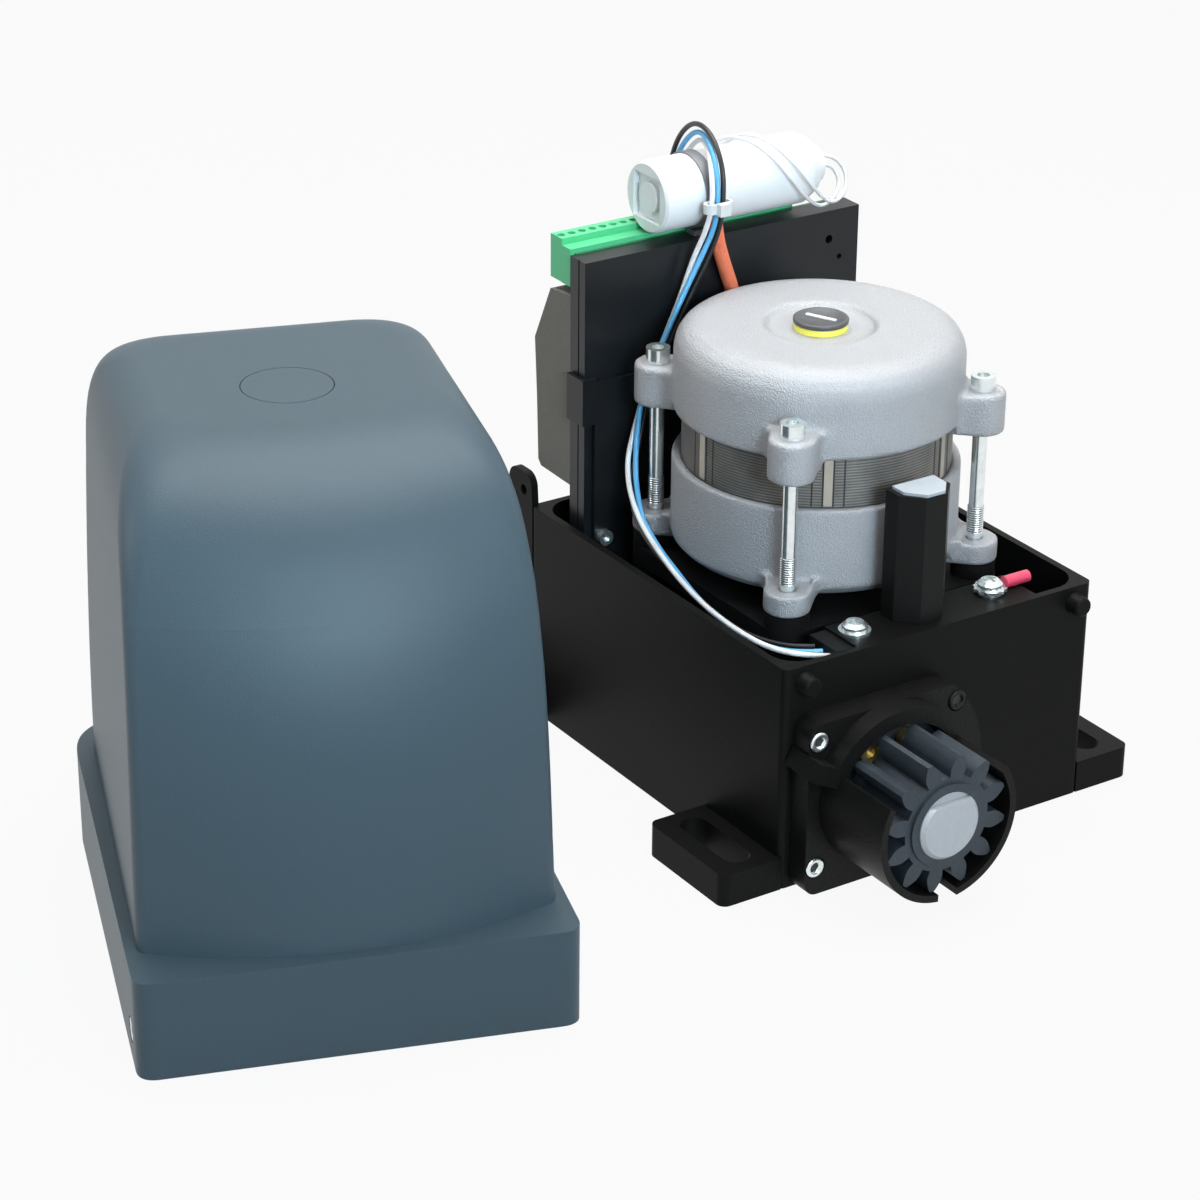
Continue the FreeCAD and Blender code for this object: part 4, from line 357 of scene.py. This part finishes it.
lay_cord("wire_white", SENSOR_WIRE, "wire_white_pvc", [
    (-64.6, -10.5, 204.8), (-71.6, -10, 205.8), (-75, -6.6, 214.8), (-72.6, -3, 229.5),
    (-65.4, -1.8, 241.5), (-55, -3, 249), (-44.5, -7, 248), (-34.2, -12.2, 241),
    (-30.2, -14.2, 230.5), (-31.4, -16, 219), (-34.4, -20.6, 206), (-35.2, -25.6, 191),
    (-34.6, -32.6, 177), (-34.2, -39.6, 164), (-33.6, -45, 150), (-32, -50.2, 137),
    (-29.4, -54.8, 127), (-22.8, -58.2, 117), (-10, -61.2, 108), (6, -63.2, 102),
    (22, -65, 97.8), (39, -68, 96.6), (57, -70.6, 96.4), (75, -70.8, 95.8), (90, -68, 94.6),
    (100, -59, 93), (104, -48, 91.5)])
lay_cord("wire_black", SENSOR_WIRE, "wire_black_pvc", [
    (-64.6, -0.5, 204.8), (-72.8, -0.6, 205.2), (-79.6, -1.6, 213.6), (-78.4, -3, 230),
    (-70.6, -3.8, 246), (-57.5, -4.8, 255.8), (-43.2, -6.2, 254), (-32.6, -7.8, 243.5),
    (-30.2, -9, 230.5), (-30.6, -10, 219), (-33.8, -13.5, 205), (-35.8, -20.5, 190),
    (-35.8, -28, 176), (-35.6, -36, 162), (-34.6, -42, 148), (-32.8, -46.6, 132),
    (-28.6, -53.6, 117), (-17, -59, 105.5), (0, -60.4, 98.4), (16, -60.8, 94),
    (33, -61.4, 91.2), (50, -62.6, 89.6), (66, -61.8, 89), (80, -58, 89.6),
    (89, -53.4, 90.6), (94, -48, 91.5)])
lay_cord("motor_sleeve", SLEEVE, "orange_sleeve", [
    (-35, -9.6, 221), (-34.8, -8.4, 212), (-35.4, -5.6, 204), (-36, -2.4, 196),
    (-36.4, 1.2, 187), (-36.4, 2.6, 176), (-36, 1.6, 166), (-35, 0.4, 157),
    (-34.2, 0, 150.6)])
lay_cord("capacitor_lead_a", CAPACITOR_LEAD, "wire_white_pvc", [
    (-64.6, 4.5, 204.8), (-71.5, 4.5, 206.5), (-74, 5, 215), (-73, 6, 228),
    (-66.8, 8, 239.5), (-57.5, 11, 246.6), (-46, 15, 247), (-37, 20.5, 241),
    (-32.8, 28, 230.5), (-34.6, 37, 220.5), (-40.6, 48, 213.8), (-45, 58.5, 214.5),
    (-48.5, 63.5, 221), (-50.8, 59.5, 228), (-51, 51.5, 229.5)])
lay_cord("capacitor_lead_b", CAPACITOR_LEAD, "wire_white_pvc", [
    (-64.6, 9.5, 204.8), (-71.3, 9.5, 206.5), (-73.6, 10, 215), (-72.2, 11.4, 228),
    (-65.8, 14, 239.6), (-56, 17.5, 247.2), (-44.6, 21.8, 246.8), (-35.8, 27.6, 240),
    (-32.6, 35.4, 229.5), (-35.2, 44.8, 219.8), (-41, 55, 214), (-45.6, 64.6, 216.2),
    (-49.8, 67.4, 224), (-51.6, 60.5, 231.6), (-51.6, 51.5, 232.9)])


# --- small pieces ---------------------------------------------------------------------

# Foot and top of the motor's ears, and half of an ear's width.
EARS = {"upper_bell": (154.7, 171.9), "lower_bell": (100.6, 109.7)}
EAR_HALF = 9.5


def span(name):
    """The CAD node's box in millimetres."""
    low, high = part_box(name)
    return [c / MM for c in low], [c / MM for c in high]


def turned(x, y, turn, centre):
    """A flat place x, y from the centre, turned about it by an angle in radians."""
    return (centre[0] + x * math.cos(turn) - y * math.sin(turn),
            centre[1] + x * math.sin(turn) + y * math.cos(turn))


def mesh_piece(name, points, faces, material_name, body="chassis", smooth=True):
    """A new piece that rides on a body; its points are in millimetres."""
    mesh = bpy.data.meshes.new(name)
    mesh.from_pydata([[c * MM for c in point] for point in points], [], faces)
    for face in mesh.polygons:
        face.use_smooth = smooth
    mesh.materials.append(MATERIALS[material_name])
    obj = bpy.data.objects.new(name, mesh)
    bpy.context.scene.collection.objects.link(obj)
    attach(obj, body)
    return obj


def lathe(name, profile, centre, material_name, body="chassis", steps=56, smooth=True,
          axis="z"):
    """A turned piece along z or x; its profile is (radius, height along the axis)."""
    cx, cy, cz = centre
    points = []
    faces = []
    rows = len(profile)
    for i in range(steps):
        angle = 2 * math.pi * i / steps
        across, up = math.cos(angle), math.sin(angle)
        if axis == "z":
            points += [(cx + r * across, cy + r * up, cz + h) for r, h in profile]
        else:
            points += [(cx + h, cy + r * across, cz + r * up) for r, h in profile]
    for i in range(steps):
        here, there = i * rows, (i + 1) % steps * rows
        for j in range(rows - 1):
            faces.append((here + j, there + j, there + j + 1, here + j + 1))
    obj = mesh_piece(name, points, faces, material_name, body, smooth)
    weld = obj.modifiers.new("weld", "WELD")
    weld.merge_threshold = 0.01 * MM
    return obj


def prism(name, outline, foot, head, material_name, body):
    """An upright piece with a flat outline, from the foot's height to the head's."""
    points = [(x, y, height) for height in (foot, head) for x, y in outline]
    count = len(outline)
    faces = [tuple(range(count, 2 * count)), tuple(reversed(range(count)))]
    faces += [(i, (i + 1) % count, count + (i + 1) % count, count + i) for i in range(count)]
    mesh_piece(name, points, faces, material_name, body, smooth=False)


def arc_bar(name, centre, radii, degrees, heights, material_name):
    """A bar bent round the motor, between two radii, two angles and two heights."""
    steps = 10
    start, end = degrees
    points = []
    for n in range(steps + 1):
        angle = math.radians(start + (end - start) * n / steps)
        points += [(centre[0] + r * math.cos(angle), centre[1] + r * math.sin(angle), z)
                   for r in radii for z in heights]
    last = 4 * steps
    faces = [(0, 1, 3, 2), (last, last + 2, last + 3, last + 1)]
    for n in range(steps):
        a, b = 4 * n, 4 * n + 4
        faces += [(a + 2, a + 3, b + 3, b + 2), (a + 3, a + 1, b + 1, b + 3),
                  (a, a + 2, b + 2, b)]
    mesh_piece(name, points, faces, material_name, smooth=False)


def ear_web(side, foot, head, bell_r):
    """Fillet that grows with height in the corner of an ear; x runs out along the ear."""
    narrow, wide, growth = 2.5, 7.5, 1.6
    sunk_r, sunk_y = bell_r - 2.5, EAR_HALF - 2
    levels, arc = 8, 7
    rings = []
    for n in range(levels + 1):
        share = n / levels
        fillet = narrow + (wide - narrow) * share ** growth
        middle_y = EAR_HALF + fillet
        middle_x = math.sqrt((bell_r + fillet) ** 2 - middle_y ** 2)
        start = -math.pi / 2
        end = math.atan2(-middle_y, -middle_x)
        ring = [(sunk_r, sunk_y)]
        for k in range(arc + 1):
            turn = start + (end - start) * k / arc
            ring.append((middle_x + fillet * math.cos(turn),
                         middle_y + fillet * math.sin(turn)))
        height = foot + (head - foot) * share
        rings.append([(x, side * y, height) for x, y in ring])
    count = len(rings[0])
    faces = [tuple(range(count)), tuple(range(levels * count, (levels + 1) * count))]
    for n in range(levels):
        for k in range(count):
            a, b = n * count + k, n * count + (k + 1) % count
            faces.append((a, b, b + count, a + count))
    return [point for ring in rings for point in ring], faces


def add_webs(work, centre, foot, head, bell_r):
    """Adds a web on each side of the four ears, which stand on the diagonals."""
    for diagonal in (45, 135, 225, 315):
        turn = math.radians(diagonal)
        for side in (-1, 1):
            points, faces = ear_web(side, foot, head, bell_r)
            verts = [work.verts.new([c * MM for c in (*turned(x, y, turn, centre), z)])
                     for x, y, z in points]
            for face in faces:
                work.faces.new([verts[i] for i in face])


def cast_bell(name):
    """The CAD bell with its ears' webs grown in and its edges melted as in a casting."""
    low, high = span(name)
    centre = (low[0] + high[0]) / 2, (low[1] + high[1]) / 2
    bell_r = round((high[0] - low[0]) / 2, 2)
    foot, head = EARS[name]
    inside = 0.3
    work = bmesh.new()
    work.from_mesh(nodes[name].data)
    add_webs(work, centre, foot + inside, head - inside, bell_r)
    bmesh.ops.remove_doubles(work, verts=work.verts, dist=0.001 * MM)
    bmesh.ops.recalc_face_normals(work, faces=work.faces)
    mesh = bpy.data.meshes.new(f"{name}_cast")
    work.to_mesh(mesh)
    work.free()
    mesh.materials.append(MATERIALS["bell_aluminium"])
    obj = bpy.data.objects.new(f"{name}_cast", mesh)
    bpy.context.scene.collection.objects.link(obj)
    melt = obj.modifiers.new("melt", "REMESH")
    melt.mode = "VOXEL"
    melt.voxel_size = 0.95 * MM
    melt.use_smooth_shade = True
    ease = obj.modifiers.new("ease", "SMOOTH")
    ease.factor = 0.5
    ease.iterations = 7
    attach(obj, "chassis")
    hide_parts(name)


def guard_screw_heads():
    """Cap screws let into the guard's plate; the two by the open side are black."""
    low, high = span("guard_screws")
    cad_head = 5
    seat = high[0] - cad_head
    head_r, head_top = 4.15, 1.6
    shank_r, shank = 2.4, 14
    socket_r, floor = 2.3, 0.4
    profile = [(0, -shank), (shank_r, -shank), (shank_r, 0), (head_r, 0.1),
               (head_r, head_top - 0.4), (head_r - 0.4, head_top),
               (socket_r + 0.25, head_top), (socket_r + 0.05, head_top - 0.2),
               (socket_r, floor), (0, floor)]
    # A dark disc on each socket's floor is painted shade.
    socket_shade = [(socket_r + 0.02, floor + 0.02), (socket_r - 0.1, floor + 0.08),
              (0, floor + 0.08)]
    first = None
    for j, up in enumerate((low[2] + head_r, high[2] - head_r)):
        for i, across in enumerate((low[1] + head_r, high[1] - head_r)):
            spot = (seat, across, up)
            finish = "zinc_steel" if i == 0 else "screw_black"
            head = lathe(f"guard_screw_{i}_{j}", profile, spot, finish, steps=42, axis="x")
            lathe(f"guard_socket_shade_{i}_{j}", socket_shade, spot, "painted_groove_shade", steps=6,
                  smooth=False, axis="x")
            first = first or head
    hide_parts("guard_screws")


def peg_ends():
    """The two round pegs that the cover hooks on, with their rounded ends."""
    front = span("pinion_guard")[0][0]
    ledge = span("sensor_tower")[0][2]
    side_wall, inset, drop = 75.7, 9, 7
    radius, end = 4.05, 6.45
    profile = [(radius + 0.55, -0.5), (radius + 0.45, 0.6), (radius + 0.05, 1.2),
               (radius, end - 1.35), (radius - 0.25, end - 0.55), (radius - 0.85, end),
               (0, end)]
    for k, side in enumerate((-1, 1)):
        lathe(f"cover_peg_{k}", profile, (front, side * (side_wall - inset), ledge - drop),
              "base_plastic", steps=40, axis="x")


def screw_threads():
    """Rolled threads that show on each motor bolt above the lower ear.

    A darker sleeve fills the valleys between their crests as painted shade.
    """
    low, high = span("motor_bolts")
    head_r = 5
    middle_x = (high[0] + low[0]) / 2
    apart = (high[0] - low[0]) / 2 - head_r
    pitch, turns = 1.0, 12
    length = turns * pitch
    core_r, root_r, valley_r, crest_r = 2.6, 2.9, 3.1, 3.42
    thread = [(core_r, 0)]
    for n in range(turns):
        foot = n * pitch
        thread += [(root_r, foot), (crest_r, foot + 0.3), (crest_r, foot + 0.42),
                   (root_r, foot + 0.72)]
    thread.append((core_r, length))
    # A dark sleeve between the crests is painted shade in the thread valleys.
    valley_shade = [(core_r, 0), (valley_r, 0), (valley_r, length - 0.3), (core_r, length)]
    ear_top = EARS["lower_bell"][1]
    for k, (i, j) in enumerate([(-1, -1), (-1, 1), (1, -1), (1, 1)]):
        spot = (middle_x + i * apart, j * apart, ear_top)
        lathe(f"bolt_thread_{k}", thread, spot, "zinc_steel", steps=32)
        lathe(f"thread_valley_shade_{k}", valley_shade, spot, "painted_thread_shade", steps=32)


def stack_cleats():
    """Clamping cleats pressed into six notches round the stator's laminations."""
    low, high = span("stator_core")
    centre = ((low[0] + high[0]) / 2, 0)
    radius = (high[0] - low[0]) / 2
    shown, gap = 21, 0.2
    bottom = span("lower_bell")[1][2] + gap
    top = bottom + shown - 2 * gap
    sunk_r = radius - 1
    first, notches = -31.5, 6
    line = 0.7
    # Thin dark bars at the notches' edges and beside each cleat are painted shade.
    painted_shade_lines = [("notch_edge_shade", (-7, 6.4), 0.12), ("cleat_shadow", (-2.5, 1.9), 0.15)]
    cleat_half, cleat_rise = 1.8, 0.55
    for n in range(notches):
        middle = first + 360 / notches * n
        for kind, edges, rise in painted_shade_lines:
            for side, edge in enumerate(edges):
                arc_bar(f"{kind}_{n}_{side}", centre, (sunk_r, radius + rise),
                        (middle + edge, middle + edge + line), (bottom, top),
                        "painted_groove_shade")
        arc_bar(f"cleat_{n}", centre, (sunk_r, radius + cleat_rise),
                (middle - cleat_half, middle + cleat_half), (bottom + 0.4, top - 0.2),
                "cleat_steel")


def release_cap():
    """Yellow release cap on the motor's axis, under a plain grey disc with a pointer."""
    low, high = span("release_knob")
    centre = (low[0] + high[0]) / 2, (low[1] + high[1]) / 2
    seat = low[2]
    radius, rise = 10.8, 6.0
    disc_r, rim, dish = radius + 0.4, 1.9, 1.6
    cap = lathe("release_cap", [(0, 0), (radius - 1, 0), (radius, 0.8),
                                (radius, rise - 0.6), (radius - 0.5, rise), (0, rise)],
                (*centre, seat), "yellow_plastic", "release")
    disc = lathe("release_disc", [(0, 0), (disc_r - 0.2, 0), (disc_r, 0.3),
                                  (disc_r, rim - 0.4), (radius, rim), (radius - 1.1, rim),
                                  (radius - 1.4, dish), (0, dish)],
                 (*centre, seat + rise), "dial_grey", "release")
    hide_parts("release_knob")
    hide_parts("release_dial")
    release_pointer(centre, seat + rise + dish - 0.05)


def release_pointer(centre, foot):
    """A plain straight bar that shows how far the cap is turned."""
    half_width, half_length, blunt, thickness = 1.0, 6.9, 0.5, 0.45
    turn = math.radians(115)
    narrow, short = half_width - blunt, half_length - blunt
    outline = [(-half_width, -short), (-narrow, -half_length), (narrow, -half_length),
               (half_width, -short), (half_width, short), (narrow, half_length),
               (-narrow, half_length), (-half_width, short)]
    prism("release_pointer", [turned(x, y, turn, centre) for x, y in outline], foot,
          foot + thickness, "dial_mark", "release")


cast_bell("upper_bell")
cast_bell("lower_bell")
guard_screw_heads()
peg_ends()
screw_threads()
stack_cleats()
release_cap()


# --- studio ---------------------------------------------------------------------------

WHITE = (1, 1, 1)


def background_rays(tree, share):
    """Share of white for the rays that see the background: camera, glossy, transmission."""
    path = tree.nodes.new("ShaderNodeLightPath")
    total = path.outputs["Is Camera Ray"]
    for kind in ("Is Glossy Ray", "Is Transmission Ray"):
        added = tree.nodes.new("ShaderNodeMath")
        added.operation = "MAXIMUM"
        tree.links.new(total, added.inputs[0])
        tree.links.new(path.outputs[kind], added.inputs[1])
        total = added.outputs[0]
    scaled = tree.nodes.new("ShaderNodeMath")
    scaled.operation = "MULTIPLY"
    scaled.inputs[1].default_value = share
    tree.links.new(total, scaled.inputs[0])
    return scaled.outputs[0]


def mix_in_white(tree, plain, white, share, output):
    """Shows white to the rays that see the background, and the plain shader to the rest."""
    mix = tree.nodes.new("ShaderNodeMixShader")
    tree.links.new(background_rays(tree, share), mix.inputs[0])
    tree.links.new(plain.outputs[0], mix.inputs[1])
    tree.links.new(white.outputs[0], mix.inputs[2])
    tree.links.new(mix.outputs[0], tree.nodes[output].inputs[0])


def sky(strength, color):
    """A dim, even sky that looks plain white to the camera and in reflections."""
    world = bpy.data.worlds.new("studio")
    bpy.context.scene.world = world
    world.use_nodes = True
    tree = world.node_tree
    dim = tree.nodes["Background"]
    dim.inputs["Color"].default_value = (*color, 1)
    dim.inputs["Strength"].default_value = strength
    white = tree.nodes.new("ShaderNodeBackground")
    white.inputs["Color"].default_value = (*WHITE, 1)
    white.inputs["Strength"].default_value = 1.0
    mix_in_white(tree, dim, white, 1.0, "World Output")


def paper_floor(white_share):
    """Grey paper under the object, nearly white to the camera and in reflections."""
    bpy.ops.mesh.primitive_plane_add(size=12, location=(0, 0, -0.0002))
    floor = bpy.context.object
    floor.name = "floor"
    paper = material("floor_paper", (0.3, 0.3, 0.3), 0.9, specular=0.1)
    tree = paper.node_tree
    glow = tree.nodes.new("ShaderNodeEmission")
    glow.inputs["Color"].default_value = (*WHITE, 1)
    glow.inputs["Strength"].default_value = 1.0
    mix_in_white(tree, tree.nodes["Principled BSDF"], glow, white_share, "Material Output")
    floor.data.materials.append(paper)
    floor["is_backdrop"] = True


def area_light(name, place, target, size, power, color=WHITE):
    """A rectangular lamp that faces its target; places and sizes in metres, power in watts."""
    light = bpy.data.lights.new(name, "AREA")
    light.shape = "RECTANGLE"
    light.size, light.size_y = size
    light.energy = power
    light.color = color
    obj = bpy.data.objects.new(name, light)
    bpy.context.scene.collection.objects.link(obj)
    obj.location = place
    obj.rotation_euler = (Vector(target) - Vector(place)).to_track_quat("-Z", "Y").to_euler()
    return obj


def studio():
    """The photo's light: soft from above, in front and the left, and a blue window."""
    middle = (0.0, -0.1, 0.1)
    cover_top = (0.2, -0.37, 0.27)
    sky(strength=0.26, color=(0.97, 0.985, 1.0))
    area_light("overhead", (-0.1, 0.1, 1.5), middle, size=(1.3, 1.3), power=30)
    area_light("front", (1.6, -0.1, 0.9), middle, size=(0.9, 0.5), power=9,
               color=(0.95, 0.98, 1.0))
    window = area_light("window", (1.4, -0.62, 0.72), cover_top, size=(0.9, 0.35),
                        power=1.25, color=(0.55, 0.80, 1.0))
    window.data.spread = math.radians(34)
    area_light("left", (-0.5, -1.4, 0.8), middle, size=(0.5, 0.5), power=4)
    paper_floor(white_share=0.93)


def camera():
    """The photograph's own viewpoint, found by fitting the base's edges."""
    data = bpy.data.cameras.new("photo_camera")
    data.sensor_width = 36
    data.lens = 106.82
    obj = bpy.data.objects.new("photo_camera", data)
    bpy.context.scene.collection.objects.link(obj)
    eye = (1.0883, -0.7977, 0.7061)
    right = Vector((0.5439, 0.8391, 0.0075))
    up = Vector((-0.3663, 0.2294, 0.9018))
    back = Vector((0.755, -0.4932, 0.4321))
    turn = Matrix((right, up, back)).transposed().to_4x4()
    obj.matrix_world = Matrix.Translation(eye) @ turn
    bpy.context.scene.camera = obj


studio()
camera()
bpy.context.scene.view_settings.view_transform = "Standard"

write_size("scene", SIZES)
